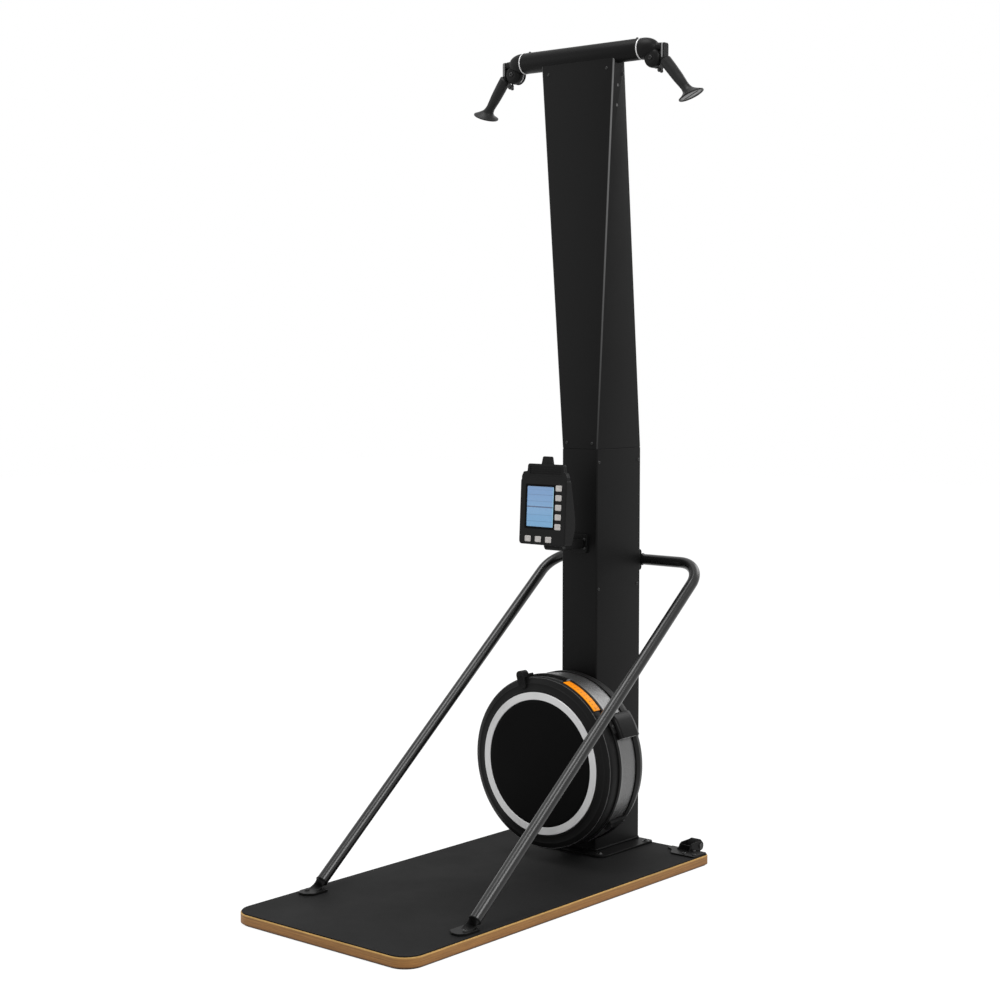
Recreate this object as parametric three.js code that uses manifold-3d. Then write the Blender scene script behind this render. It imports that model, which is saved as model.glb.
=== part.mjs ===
// A free-standing ski trainer. A board carries a hollow column with an air flywheel at its foot, a bent tube
// steadies the column from the board's front, and two pulley heads on the top bar hold the handles.
// Millimetres, +Z up, +X to the right. The user stands on the board's front part, at -Y, and faces +Y.
import * as THREE from "three";
import { mergeVertices } from "three/addons/utils/BufferGeometryUtils.js";
import Module from "manifold-3d";

const wasm = await Module();
wasm.setup();

// Fits and fineness
const seatGap = 0.3;
const runningGap = 0.5;
const cutOverrun = 5;
const weldTolerance = 0.001;
const fineSegments = 36;
const barSegments = 28;
const roundSegments = 16;
const innerSegments = 12;
const smallSegments = 10;
const tubeSides = 12;
const cordSides = 6;
const bendSteps = 4;
const arcSteps = 2;

// Board
const boardWidth = 590;
const boardLength = 1207;
const boardFrontRadius = 55;
const boardRearRadius = 18;
const woodThickness = 25;
const underlayThickness = 4;
const underlayInset = 6;
const matThickness = 3;
const matInset = 2.5;

// Support frame: one bent tube
const frameTubeRadius = 15;
const frameTubeWall = 2;
const frameHalfWidth = 259;
const frameFootSetback = 960;
const frameRearReach = 12;
const frameBarRise = 789;
const frameBendRadius = 78;
const frameTubeLift = 34;
const footPlateInner = 29;
const footPlateOuter = 22;
const footPlateFront = 46;
const footPlateRear = 22;
const footPlateThickness = 6;
const footTipWidth = 22;
const footSocketWidth = 34;
const footSocketLength = 50;
const saddleWidth = 104;
const saddleHeight = 58;
const saddleDepth = 17;

// Column and mast
const columnWidth = 120;
const columnDepth = 198.4;
const columnRearSetback = 8.6;
const columnWall = 3;
const seamRise = 1103;
const mastRise = 2136;
const mastTopWidth = 245.6;
const mastTopDepth = 48;
const mastLean = 16;
const basePlateWidth = 216;
const basePlateFront = 34;
const basePlateRear = 6;
const basePlateThickness = 6;
const basePlateRadius = 24;
const axleHoleRadius = 18;

// Top bar and swivel rings
const barRadius = 28;
const barWall = 3;
const barHalfLength = 195;
const barRise = 2149;
const barOffset = 7;
const swivelRingWidth = 3;
const swivelRingRadius = 28.6;

// Cords and sheaves
const cordRadius = 2.4;
const sheavePitchRadius = 18;
const sheaveFlangeRadius = 21;
const sheaveWidth = 10;
const sheavePinRadius = 4;
const cordSeatGap = 0.8;
const cordPlaneOffset = 10;
const guideSpacing = 32;
const guidePlateWidth = 140;
const guidePlateHeight = 42;
const guidePlateThickness = 4;

// Pulley heads
const domeLength = 47;
const domeRadius = 27.8;
const neckRadius = 11;
const headLength = 62;
const spigotLength = 36;
const spigotBore = 20;
const lobeRadius = 25.5;
const lobeInset = 35.4;
const lobeDrop = 27;
const frontCheek = 20;
const rearCheek = 3;
const slotWidth = 12;
const cordDrop = 24.2;

// Handles
const knuckleDepth = 15;
const knuckleTop = 9;
const knuckleBottom = 41;
const knuckleWidth = 27;
const gripLength = 98.8;
const gripSplay = 39.3;
const gripTopRadius = 15.4;
const gripMiddleRadius = 14.4;
const gripWaistRadius = 12.4;
const gripNoseShare = 0.6;
const gripRingShares = [0.22, 0.62, 0.9];
const flareRadius = 38.2;
const flareSplay = 21.5;
const flareLength = 25;
const flareRim = 3;
const gripTopInset = 9.4;
const gripTopDrop = 38;
const ferruleRadius = 4.5;
const ferruleLength = 14;
const ferruleTopShare = 0.8;
const stopPinRadius = 2.5;
const stopPinLength = 8.5;
const handleLugThickness = 5;
const handleLugRadius = 6;
const lugEdgeShare = 0.75;
const flareShares = [0.42, 0.74, 1];
const flareWidthShares = [0.13, 0.5, 1];

// Flywheel and its drive
const axleRise = 268.5;
const axleRadius = 10;
const bladeCount = 18;
const fanRadius = 205;
const fanInnerRadius = 92;
const fanHubRadius = 24;
const fanDiscThickness = 5;
const fanRimWidth = 7;
const bladeThickness = 3;
const bladeSweep = 16;
const fanWidth = 88;
const fanRearGap = 36;
const axleCollarRadius = 16;
const axleCollarWidth = 7;
const spacerRadius = 14;
const bearingFrontRadius = 22;
const bearingRearRadius = 20;
const bearingWidth = 11;
const drumPitchRadius = 25;
const drumFlangeRadius = 30;
const drumFlangeWidth = 2;
const drumGrooveWidth = 10;
const returnPitchRadius = 20;
const returnGrooveWidth = 8;
const returnCordRadius = 3;
const firstDrumGap = 25;
const drumSpacing = 46;
const drumBearingGap = 9;
const rearBearingGap = 6;
const innerPlateThickness = 5;
const innerPlateRise = 55;
const innerBossRadius = 27;
const innerStripWidth = 40;
const idlerRise = 700;
const idlerFlangeGap = 3;
const idlerWidth = 12;
const idlerLugThickness = 4;

// Flywheel housing
const housingStandoff = 11;
const shellWall = 3;
const coverLipRadius = 233;
const coverLipWidth = 5.5;
const coverConeDepth = 9;
const discCrown = 4;
const ringOuterRadius = 191.5;
const ringInnerRadius = 169;
const ringThickness = 3.7;
const ringProud = 2.5;
const cageFrontRadius = 236;
const cageRearRadius = 229.2;
const cageSheet = 2;
const cageBandWidth = 77;
const cageNeckWidth = 41;
const cageSlots = 18;
const slotPhaseShare = 0.25;
const cageSlotWidth = 30;
const cageBandMargin = 7;
const shellLipWidth = 8;
const shellDepth = 30;
const shellBackInset = 7;
const shellBossRadius = 48;
const damperBandThickness = 1.8;
const damperRimRadius = 236;
const damperRimWidth = 8.5;
const damperWindowStart = 75;
const damperWindowEnd = 104;
const damperWindowMargin = 4;
const leverAngle = 110;
const leverWidth = 14;
const leverHeadRadius = 13.5;
const leverReach = 252;
const leverFoot = 205;
const leverThickness = 9;
const leverHeadDepth = 13;
const scaleStart = 43;
const scaleEnd = 73;
const scaleThickness = 1.4;
const sideCoverStart = 21;
const sideCoverEnd = 38;
const sideCoverHeight = 15.5;
const sideCoverFrontShare = 0.8;
const sideCoverRearShare = 0.9;
const clipAngle = -40;
const clipSpan = 6;
const clipHeight = 10;

// Monitor
const monitorWidth = 153;
const monitorHeight = 176;
const monitorDepth = 41;
const monitorTopDepth = 18;
const monitorBottomDepth = 28;
const monitorHumpTop = 16;
const monitorHumpBottom = -20;
const monitorRadius = 9;
const monitorReach = 157;
const monitorRise = 936.5;
const monitorTilt = 4;
const dockSetback = 11;
const dockWidth = 126;
const dockHeight = 37;
const dockDepth = 22;
const dockTabWidth = 40;
const dockTabHeight = 20;
const dockTaper = 5;
const lensWidth = 91;
const lensHeight = 109;
const lensOffsetX = -14.5;
const lensOffsetZ = 14.6;
const lensThickness = 2;
const keyWidth = 20;
const keyHeight = 17;
const keyDepth = 5;
const keyProud = 1.8;
const keyRadius = 2.5;
const keyGap = 0.6;
const sideKeyCount = 5;
const sideKeyX = 48;
const sideKeyTop = 64.3;
const sideKeyPitch = 25.5;
const lowKeyCount = 3;
const lowKeyX = -55;
const lowKeyPitch = 35;
const lowKeyZ = -73;
const armWidth = 40;
const armHeight = 24;
const armPlateWidth = 61;
const armPlateHeight = 51;
const armPlateThickness = 8;
const armRise = 847;
const tiltAxisReach = 105;
const tiltBarrelRadius = 12;
const earThickness = 8;
const tiltPinRadius = 4;

// Transport wheels
const wheelRadius = 18;
const wheelWidth = 30;
const wheelCrown = 2;
const wheelX = 232;
const wheelOverhang = 18;
const wheelRise = 9;
const wheelPinRadius = 5;
const wheelPlateInner = 176;
const wheelPlateOuter = 291;
const wheelPlateLength = 64;
const wheelPlateThickness = 4;
const wheelPlateSetback = 11;
const cheekThickness = 4;
const pinHeadRadius = 8;
const pinHeadThickness = 3;
const cheekRadius = 14;

// Radius of a faceted ring that can turn around a faceted ring of the given radius
const turnsAround = (radius, segments = fineSegments) => (radius + seatGap) / Math.cos(Math.PI / segments);

// Places worked out from the sizes above
const boardFrontY = -(boardLength + wheelOverhang + wheelRadius) / 2;
const boardRearY = boardFrontY + boardLength;
const woodTop = underlayThickness + woodThickness;
const boardTop = woodTop + matThickness;
const columnRearY = boardRearY - columnRearSetback;
const columnFrontY = columnRearY - columnDepth;
const columnBase = boardTop + basePlateThickness;
const seamZ = boardTop + seamRise;
const mastTopZ = boardTop + mastRise;
const mastFrontY = columnFrontY - mastLean;
const barZ = boardTop + barRise;
const barY = columnFrontY + barOffset;
const cordY = barY + cordPlaneOffset;
const frameBarY = boardRearY + frameRearReach;
const frameBarZ = boardTop + frameBarRise;
const frameFootY = boardRearY - frameFootSetback;
const axleZ = boardTop + axleRise;
const headStart = barHalfLength + swivelRingWidth + 2 * seatGap;
const headEnd = headStart + headLength;
const lobeX = headStart + lobeInset;
const lobeZ = barZ - lobeDrop;
const cordZ = lobeZ + sheavePitchRadius;
const cordExitX = lobeX + sheavePitchRadius;
const stopZ = lobeZ - cordDrop - seatGap - ferruleLength / 2;
const housingRearY = columnFrontY - housingStandoff;
const shellLipY = housingRearY - shellDepth;
const cageRearY = shellLipY;
const cageFrontY = cageRearY - cageBandWidth;
const cageNeckY = cageFrontY - cageNeckWidth;
const coverLipY = cageNeckY + coverLipWidth - 2 * seatGap;
const coverRimY = coverLipY - coverLipWidth;
const coverFaceY = coverRimY - coverConeDepth;
const damperBandRadius = turnsAround(cageRearRadius);
const scaleRadius = turnsAround(damperBandRadius + damperBandThickness);
const fanRearY = housingRearY - shellWall - fanRearGap;
const fanFrontY = fanRearY - fanWidth;

// Turns a three.js geometry into a solid: shared corners are welded and faces without area are dropped.
function solidFrom(geometry) {
  const loose = geometry.index ? geometry.toNonIndexed() : geometry.clone();
  loose.deleteAttribute("normal");
  loose.deleteAttribute("uv");
  const welded = mergeVertices(loose, weldTolerance);
  const index = welded.index.array;
  const faces = [];
  for (let i = 0; i < index.length; i += 3) {
    const face = [index[i], index[i + 1], index[i + 2]];
    if (new Set(face).size === face.length) faces.push(face);
  }
  const build = (list) =>
    new wasm.Manifold(
      new wasm.Mesh({
        numProp: 3,
        vertProperties: welded.attributes.position.array,
        triVerts: new Uint32Array(list.flat()),
      }),
    );
  const made = build(faces);
  return made.volume() > 0 ? made : build(faces.map(([a, b, c]) => [a, c, b]));
}

function geometryFrom(solid) {
  const mesh = solid.getMesh();
  const count = mesh.numProp;
  const places = [];
  for (const corner of mesh.triVerts) {
    places.push(...mesh.vertProperties.subarray(corner * count, corner * count + 3));
  }
  const geometry = new THREE.BufferGeometry();
  geometry.setAttribute("position", new THREE.Float32BufferAttribute(places, 3));
  geometry.computeVertexNormals();
  return geometry;
}

const join = (first, ...others) => others.reduce((sum, next) => sum.add(next), first);
const cut = (first, ...others) => others.reduce((rest, next) => rest.subtract(next), first);

// A block between two opposite corners.
function block(x0, x1, y0, y1, z0, z1) {
  const geometry = new THREE.BoxGeometry(x1 - x0, y1 - y0, z1 - z0);
  geometry.translate((x0 + x1) / 2, (y0 + y1) / 2, (z0 + z1) / 2);
  return solidFrom(geometry);
}

// Turns a geometry whose axis is +Y until its axis is +X, +Y or +Z.
function alongAxis(geometry, axis) {
  if (axis === "x") geometry.rotateZ(-Math.PI / 2);
  if (axis === "z") geometry.rotateX(Math.PI / 2);
  return geometry;
}

// A round rod between two places on an axis; centre gives the other two coordinates.
function rod(axis, radius, from, to, centre, segments = roundSegments) {
  const geometry = new THREE.CylinderGeometry(radius, radius, to - from, segments);
  geometry.translate(0, (from + to) / 2, 0);
  alongAxis(geometry, axis).translate(centre.x ?? 0, centre.y ?? 0, centre.z ?? 0);
  return solidFrom(geometry);
}

// A turned piece. Its profile lists radius and place along the axis, and closes on itself or on the axis.
function turned(axis, profile, centre, segments = roundSegments) {
  const points = profile.map(([radius, along]) => new THREE.Vector2(radius, along));
  if (profile.every(([radius]) => radius > 0)) points.push(points[0].clone());
  const geometry = new THREE.LatheGeometry(points, segments);
  alongAxis(geometry, axis).translate(centre.x ?? 0, centre.y ?? 0, centre.z ?? 0);
  return solidFrom(geometry);
}

// A flat outline pulled along an axis. The outline lies in the other two axes, in alphabetical order.
function prism(axis, shape, from, to, steps = arcSteps) {
  const geometry = new THREE.ExtrudeGeometry(shape, {
    depth: to - from,
    bevelEnabled: false,
    curveSegments: steps,
  });
  const turn = new THREE.Matrix4();
  const [ux, uy, uz] = [new THREE.Vector3(1, 0, 0), new THREE.Vector3(0, 1, 0), new THREE.Vector3(0, 0, 1)];
  if (axis === "x") turn.makeBasis(uy, uz, ux);
  if (axis === "y") turn.makeBasis(ux, uz, uy.negate());
  geometry.applyMatrix4(turn);
  if (axis === "x") geometry.translate(from, 0, 0);
  if (axis === "y") geometry.translate(0, to, 0);
  if (axis === "z") geometry.translate(0, 0, from);
  return solidFrom(geometry);
}

const outline = (points) => new THREE.Shape(points.map(([u, v]) => new THREE.Vector2(u, v)));

// A rectangle with one radius at its low-v corners and another at its high-v corners.
function roundedRectangle(u0, u1, v0, v1, lowRadius, highRadius = lowRadius) {
  const shape = new THREE.Shape();
  const quarter = Math.PI / 2;
  shape.moveTo(u0 + lowRadius, v0);
  shape.absarc(u1 - lowRadius, v0 + lowRadius, lowRadius, -quarter, 0, false);
  shape.absarc(u1 - highRadius, v1 - highRadius, highRadius, 0, quarter, false);
  shape.absarc(u0 + highRadius, v1 - highRadius, highRadius, quarter, Math.PI, false);
  shape.absarc(u0 + lowRadius, v0 + lowRadius, lowRadius, Math.PI, 3 * quarter, false);
  return shape;
}

// A skin through rings of equally many points, closed with a flat face at each end.
function loft(rings) {
  const corners = [];
  const size = rings[0].length;
  const middle = (ring) =>
    ring.reduce((sum, point) => sum.add(point), new THREE.Vector3()).divideScalar(size);
  for (let i = 0; i + 1 < rings.length; i += 1) {
    for (let k = 0; k < size; k += 1) {
      const next = (k + 1) % size;
      const [a, b, c, d] = [rings[i][k], rings[i][next], rings[i + 1][next], rings[i + 1][k]];
      corners.push(a, b, c, a, c, d);
    }
  }
  const [first, last] = [rings[0], rings[rings.length - 1]];
  const [firstMiddle, lastMiddle] = [middle(first), middle(last)];
  for (let k = 0; k < size; k += 1) {
    const next = (k + 1) % size;
    corners.push(firstMiddle, first[next], first[k]);
    corners.push(lastMiddle, last[k], last[next]);
  }
  return solidFrom(new THREE.BufferGeometry().setFromPoints(corners));
}

// A level rectangle as a loft ring.
const levelRing = (halfWidth, y0, y1, z) => [
  new THREE.Vector3(-halfWidth, y0, z),
  new THREE.Vector3(halfWidth, y0, z),
  new THREE.Vector3(halfWidth, y1, z),
  new THREE.Vector3(-halfWidth, y1, z),
];

// A round or oval loft ring in the plane of two directions.
function roundRing(centre, across, along, radiusAcross, radiusAlong, segments = smallSegments) {
  const ring = [];
  for (let k = 0; k < segments; k += 1) {
    const angle = (2 * Math.PI * k) / segments;
    ring.push(
      centre
        .clone()
        .addScaledVector(across, radiusAcross * Math.cos(angle))
        .addScaledVector(along, radiusAlong * Math.sin(angle)),
    );
  }
  return ring;
}

// A route through corners: one ring of an extruded tube stands on each corner.
class Route extends THREE.Curve {
  constructor(corners) {
    super();
    this.corners = corners;
  }
  getPoint(t) {
    const place = t * (this.corners.length - 1);
    const low = Math.min(Math.floor(place), this.corners.length - 2);
    return this.corners[low].clone().lerp(this.corners[low + 1], place - low);
  }
  getPointAt(u) {
    return this.getPoint(u);
  }
  getTangentAt(u) {
    const last = this.corners.length - 1;
    const here = Math.round(u * last);
    const ahead = this.corners[Math.min(here + 1, last)];
    const behind = this.corners[Math.max(here - 1, 0)];
    const middle = this.corners[here];
    const onward = ahead.clone().sub(middle).normalize();
    return onward.add(middle.clone().sub(behind).normalize()).normalize();
  }
}

function tube(corners, radius, sides) {
  const section = new THREE.Shape();
  section.absarc(0, 0, radius, 0, 2 * Math.PI, false);
  const geometry = new THREE.ExtrudeGeometry(section, {
    steps: corners.length - 1,
    curveSegments: sides / 2,
    bevelEnabled: false,
    extrudePath: new Route(corners),
  });
  return solidFrom(geometry);
}

// Points of an arc from one direction to another, about a centre.
function arcPoints(centre, from, to, radius, angle, steps) {
  const points = [];
  for (let k = 0; k <= steps; k += 1) {
    const turn = (angle * k) / steps;
    points.push(
      centre
        .clone()
        .addScaledVector(from, radius * Math.cos(turn))
        .addScaledVector(to, radius * Math.sin(turn)),
    );
  }
  return points;
}

// Keeps the part of a turned piece that lies between two clock angles, counted from +X towards +Z.
function sector(solid, startDegrees, endDegrees, reach) {
  const [start, end] = [THREE.MathUtils.degToRad(startDegrees), THREE.MathUtils.degToRad(endDegrees)];
  const far = 2 * reach;
  const wedge = outline([
    [0, axleZ],
    [far * Math.cos(start), axleZ + far * Math.sin(start)],
    [far * Math.cos(end), axleZ + far * Math.sin(end)],
  ]);
  return solid.intersect(prism("y", wedge, boardFrontY, boardRearY));
}

const atAxle = { z: axleZ };
const cageRadiusAt = (y) =>
  cageRearRadius + ((cageFrontRadius - cageRearRadius) * (cageRearY - y)) / cageBandWidth;

// Board
function boardSlab(inset, z0, z1) {
  const halfWidth = boardWidth / 2 - inset;
  const shape = roundedRectangle(
    -halfWidth,
    halfWidth,
    boardFrontY + inset,
    boardRearY - inset,
    boardFrontRadius - inset,
    boardRearRadius - inset,
  );
  return prism("z", shape, z0, z1);
}

// Support frame with the plate welded to its bar for the column's rear wall
function frameRoute(run) {
  const foot = new THREE.Vector3(frameHalfWidth, frameFootY, boardTop);
  const corner = new THREE.Vector3(frameHalfWidth, frameBarY, frameBarZ);
  const legWay = corner.clone().sub(foot).normalize();
  const barWay = new THREE.Vector3(-1, 0, 0);
  const centre = corner
    .clone()
    .addScaledVector(legWay, -frameBendRadius)
    .addScaledVector(barWay, frameBendRadius);
  const half = [foot.clone().addScaledVector(legWay, run)];
  half.push(...arcPoints(centre, barWay.clone().negate(), legWay, frameBendRadius, Math.PI / 2, bendSteps));
  const other = half.map((point) => new THREE.Vector3(-point.x, point.y, point.z)).reverse();
  return [...half, ...other];
}

function supportFrame() {
  const outer = tube(frameRoute(frameTubeLift), frameTubeRadius, tubeSides);
  const bore = tube(frameRoute(frameTubeLift - cutOverrun), frameTubeRadius - frameTubeWall, tubeSides);
  const saddleFront = columnRearY + seatGap;
  const saddle = block(
    -saddleWidth / 2,
    saddleWidth / 2,
    saddleFront,
    saddleFront + saddleDepth,
    frameBarZ - saddleHeight / 2,
    frameBarZ + saddleHeight / 2,
  );
  return cut(join(outer, saddle), bore);
}

// The foot is a plate with a blunt tip and a tapered shoe that carries the tube's end.
function frameFoot() {
  const tip = footTipWidth / 2;
  const [front, rear] = [frameFootY - footPlateFront, frameFootY + footPlateRear];
  const [inner, outer] = [frameHalfWidth - footPlateInner, frameHalfWidth + footPlateOuter];
  const plate = outline([
    [frameHalfWidth - tip, front],
    [frameHalfWidth + tip, front],
    [outer, front + footPlateOuter],
    [outer, rear],
    [inner, rear],
    [inner, front + footPlateInner],
  ]);
  const top = boardTop + footPlateThickness;
  const route = frameRoute(frameTubeLift - seatGap);
  const way = route[1].clone().sub(route[0]).normalize();
  const across = new THREE.Vector3(1, 0, 0);
  const underside = way.clone().cross(across).normalize();
  const rearward = new THREE.Vector3(0, 1, 0);
  const base = new THREE.Vector3(frameHalfWidth, rear - footSocketLength / 2, top - footPlateThickness / 2);
  const socket = loft([
    roundRing(base, across, rearward, footSocketWidth / 2, footSocketLength / 2, tubeSides),
    roundRing(route[0], across, underside, frameTubeRadius, frameTubeRadius, tubeSides),
  ]);
  return join(prism("z", plate, boardTop, top), socket);
}

// Column, welded to its foot plate
function lowerColumn() {
  const half = columnWidth / 2;
  const inner = half - columnWall;
  const top = seamZ - seatGap / 2;
  const outer = block(-half, half, columnFrontY, columnRearY, columnBase - basePlateThickness / 2, top);
  const hollow = block(
    -inner,
    inner,
    columnFrontY + columnWall,
    columnRearY - columnWall,
    columnBase - cutOverrun,
    top + cutOverrun,
  );
  const axleHole = rod(
    "y",
    axleHoleRadius,
    columnFrontY - cutOverrun,
    columnFrontY + columnWall + cutOverrun,
    atAxle,
  );
  const halfPlate = basePlateWidth / 2;
  const shape = roundedRectangle(
    -halfPlate,
    halfPlate,
    columnFrontY - basePlateFront,
    columnRearY + basePlateRear,
    basePlateRadius,
    basePlateRadius / 2,
  );
  return join(cut(outer, hollow, axleHole), prism("z", shape, boardTop, columnBase));
}

function upperMast() {
  const bottom = seamZ + seatGap / 2;
  const half = columnWidth / 2;
  const topHalf = mastTopWidth / 2;
  const mastRearY = mastFrontY + mastTopDepth;
  const shell = (wall, overrun) => {
    const share = overrun / (mastTopZ - bottom);
    const ring = (t, z) =>
      levelRing(
        half + (topHalf - half) * t - wall,
        columnFrontY + (mastFrontY - columnFrontY) * t + wall,
        columnRearY + (mastRearY - columnRearY) * t - wall,
        z,
      );
    return loft([ring(-share, bottom - overrun), ring(1 + share, mastTopZ + overrun)]);
  };
  const barSeat = rod("x", barRadius + seatGap, -mastTopWidth, mastTopWidth, { y: barY, z: barZ }, barSegments);
  return cut(shell(0, 0), shell(columnWall, cutOverrun), barSeat);
}

// Top bar with a slot underneath for the guide sheaves
function topBar() {
  const centre = { y: barY, z: barZ };
  const outer = rod("x", barRadius, -barHalfLength, barHalfLength, centre, barSegments);
  const inner = barRadius - barWall;
  const boreEnd = barHalfLength + cutOverrun;
  const bore = rod("x", inner, -boreEnd, boreEnd, centre, barSegments);
  const reach = sheaveFlangeRadius + runningGap;
  const slot = (side) =>
    block(
      side * guideSpacing - reach,
      side * guideSpacing + reach,
      cordY - sheaveWidth / 2 - 2 * runningGap - sheavePinRadius,
      cordY + sheaveWidth / 2 + guidePlateThickness + 2 * runningGap + sheavePinRadius,
      barZ - barRadius - cutOverrun,
      barZ - barRadius / 3,
    );
  return cut(outer, bore, slot(1), slot(-1));
}

function swivelRing() {
  const start = barHalfLength + seatGap;
  const inner = barRadius - barWall;
  return turned(
    "x",
    [
      [inner, start],
      [swivelRingRadius, start],
      [swivelRingRadius, start + swivelRingWidth],
      [inner, start + swivelRingWidth],
    ],
    { y: barY, z: barZ },
    barSegments,
  );
}

// Pulley head: a dome on the bar's end with two cheeks below it that carry the sheave on a fixed pin
function pulleyHead() {
  const centre = { y: barY, z: barZ };
  const lobeCentre = { x: lobeX, z: lobeZ };
  const profile = [
    [0, headStart],
    [domeRadius, headStart],
  ];
  for (let k = 0; k <= bendSteps; k += 1) {
    const share = k / bendSteps;
    const radius = domeRadius * Math.sqrt(1 - share * share * (1 - (neckRadius / domeRadius) ** 2));
    profile.push([radius, headStart + domeLength * (barWall / barRadius + (1 - barWall / barRadius) * share)]);
  }
  profile.push([neckRadius, headEnd], [0, headEnd]);
  const dome = turned("x", profile, centre, roundSegments);
  const spigotOuter = barRadius - barWall - seatGap;
  const spigot = turned(
    "x",
    [
      [spigotBore, headStart - spigotLength],
      [spigotOuter, headStart - spigotLength],
      [spigotOuter, headStart + seatGap],
      [spigotBore, headStart + seatGap],
    ],
    centre,
    roundSegments,
  );
  const slotFront = cordY - slotWidth / 2;
  const slotRear = cordY + slotWidth / 2;
  const lobe = rod("y", lobeRadius, slotFront - frontCheek, slotRear + rearCheek, lobeCentre, roundSegments);
  const pocket = rod("y", sheaveFlangeRadius + 2 * runningGap, slotFront, slotRear, lobeCentre, roundSegments);
  const mouth = block(
    lobeX - lobeRadius - seatGap,
    headEnd + cutOverrun,
    slotFront,
    slotRear,
    lobeZ - lobeRadius - cutOverrun,
    lobeZ,
  );
  const channel = rod("x", 2 * cordRadius, headStart - cutOverrun, lobeX, { y: cordY, z: cordZ }, smallSegments);
  const pin = rod("y", sheavePinRadius, slotFront - cutOverrun, slotRear + rearCheek / 2, lobeCentre, smallSegments);
  return join(cut(join(dome, spigot, lobe), pocket, mouth, channel), pin);
}

// A grooved sheave on an axis along Y or X
function sheave(axis, along, pitch, flange, width, groove, centre) {
  const half = width / 2;
  const floor = pitch - groove - cordSeatGap;
  const bore = sheavePinRadius + seatGap;
  return turned(
    axis,
    [
      [bore, along - half],
      [flange, along - half],
      [floor, along - groove / 2],
      [floor, along + groove / 2],
      [flange, along + half],
      [bore, along + half],
    ],
    centre,
    innerSegments,
  );
}

// The cord in the head: in through the bar's end and over the sheave
function headCord() {
  const centre = new THREE.Vector3(lobeX, cordY, lobeZ);
  const up = new THREE.Vector3(0, 0, 1);
  const out = new THREE.Vector3(1, 0, 0);
  const start = new THREE.Vector3(headStart, cordY, cordZ);
  return tube([start, ...arcPoints(centre, up, out, sheavePitchRadius, Math.PI / 2, bendSteps)], cordRadius, cordSides);
}

// The stretch of cord that hangs from the head and grows as the handle is pulled
const pullCord = () =>
  rod("z", cordRadius, lobeZ - cordDrop, lobeZ - 2 * seatGap, { x: cordExitX, y: cordY }, cordSides);

// The ferrule on the cord's end, with the pin that the handle's lug hangs on
function cordStop() {
  const top = lobeZ - cordDrop - seatGap;
  const body = turned(
    "z",
    [
      [0, top],
      [ferruleRadius * ferruleTopShare, top],
      [ferruleRadius, top - ferruleRadius / 2],
      [ferruleRadius, top - ferruleLength + ferruleRadius / 2],
      [ferruleRadius / 2, top - ferruleLength],
      [0, top - ferruleLength],
    ],
    { x: cordExitX, y: cordY },
    smallSegments,
  );
  const pin = rod(
    "y",
    stopPinRadius,
    cordY - ferruleRadius - stopPinLength,
    cordY,
    { x: cordExitX, z: stopZ },
    smallSegments,
  );
  return join(body, pin);
}

// The handle: a tapered grip that splays outwards, a slanted flare at its end, and a knuckle at its top
function handleGrip() {
  const top = new THREE.Vector3(headEnd + gripTopInset, barY, barZ - gripTopDrop);
  const splay = THREE.MathUtils.degToRad(gripSplay);
  const endSplay = THREE.MathUtils.degToRad(flareSplay);
  const way = (angle) => new THREE.Vector3(Math.sin(angle), 0, -Math.cos(angle));
  const level = new THREE.Vector3(0, 1, 0);
  const ring = (distance, angle, radius) => {
    const centre = top.clone().addScaledVector(way(splay), distance);
    return roundRing(centre, level.clone().cross(way(angle)), level, radius, radius);
  };
  const rings = [
    ring(-gripTopRadius / 3, splay, gripTopRadius * gripNoseShare),
    ring(0, splay, gripTopRadius),
    ring(gripLength * gripRingShares[0], splay, gripTopRadius),
    ring(gripLength * gripRingShares[1], splay, gripMiddleRadius),
    ring(gripLength * gripRingShares[2], splay, gripWaistRadius),
    ring(gripLength, splay, gripWaistRadius),
  ];
  flareShares.forEach((share, k) => {
    const radius = gripWaistRadius + (flareRadius - gripWaistRadius) * flareWidthShares[k];
    rings.push(ring(gripLength + flareLength * share, splay + (endSplay - splay) * share, radius));
  });
  const face = top.clone().addScaledVector(way(splay), gripLength + flareLength);
  face.addScaledVector(way(endSplay), flareRim);
  rings.push(roundRing(face, level.clone().cross(way(endSplay)), level, flareRadius, flareRadius));
  const inner = headEnd + seatGap;
  const knuckleShape = roundedRectangle(
    inner,
    inner + knuckleDepth,
    barZ - knuckleBottom,
    barZ + knuckleTop,
    seatGap,
    knuckleDepth / 3,
  );
  const knuckle = prism("y", knuckleShape, barY - knuckleWidth / 2, barY + knuckleWidth / 2);
  const lugRear = cordY - ferruleRadius - 2 * runningGap;
  const lugFront = lugRear - handleLugThickness;
  const eye = { x: cordExitX, z: stopZ };
  const arm = outline([
    [eye.x - handleLugRadius / 2, stopZ + handleLugRadius * lugEdgeShare],
    [eye.x + handleLugRadius * lugEdgeShare, stopZ - handleLugRadius * lugEdgeShare],
    [top.x + handleLugRadius / 2, top.z - handleLugRadius],
    [top.x - handleLugRadius, top.z + handleLugRadius / 2],
  ]);
  const lug = join(
    rod("y", handleLugRadius, lugFront, lugRear, eye, smallSegments),
    prism("y", arm, lugFront, lugRear),
  );
  const eyeBore = rod(
    "y",
    stopPinRadius + seatGap,
    lugFront - cutOverrun,
    lugRear + cutOverrun,
    eye,
    smallSegments,
  );
  return cut(join(loft(rings), knuckle, lug), eyeBore);
}

// Carrier of the two guide sheaves, hung from the bar inside the mast
const guidePlateY = cordY + sheaveWidth / 2 + runningGap;

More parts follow.
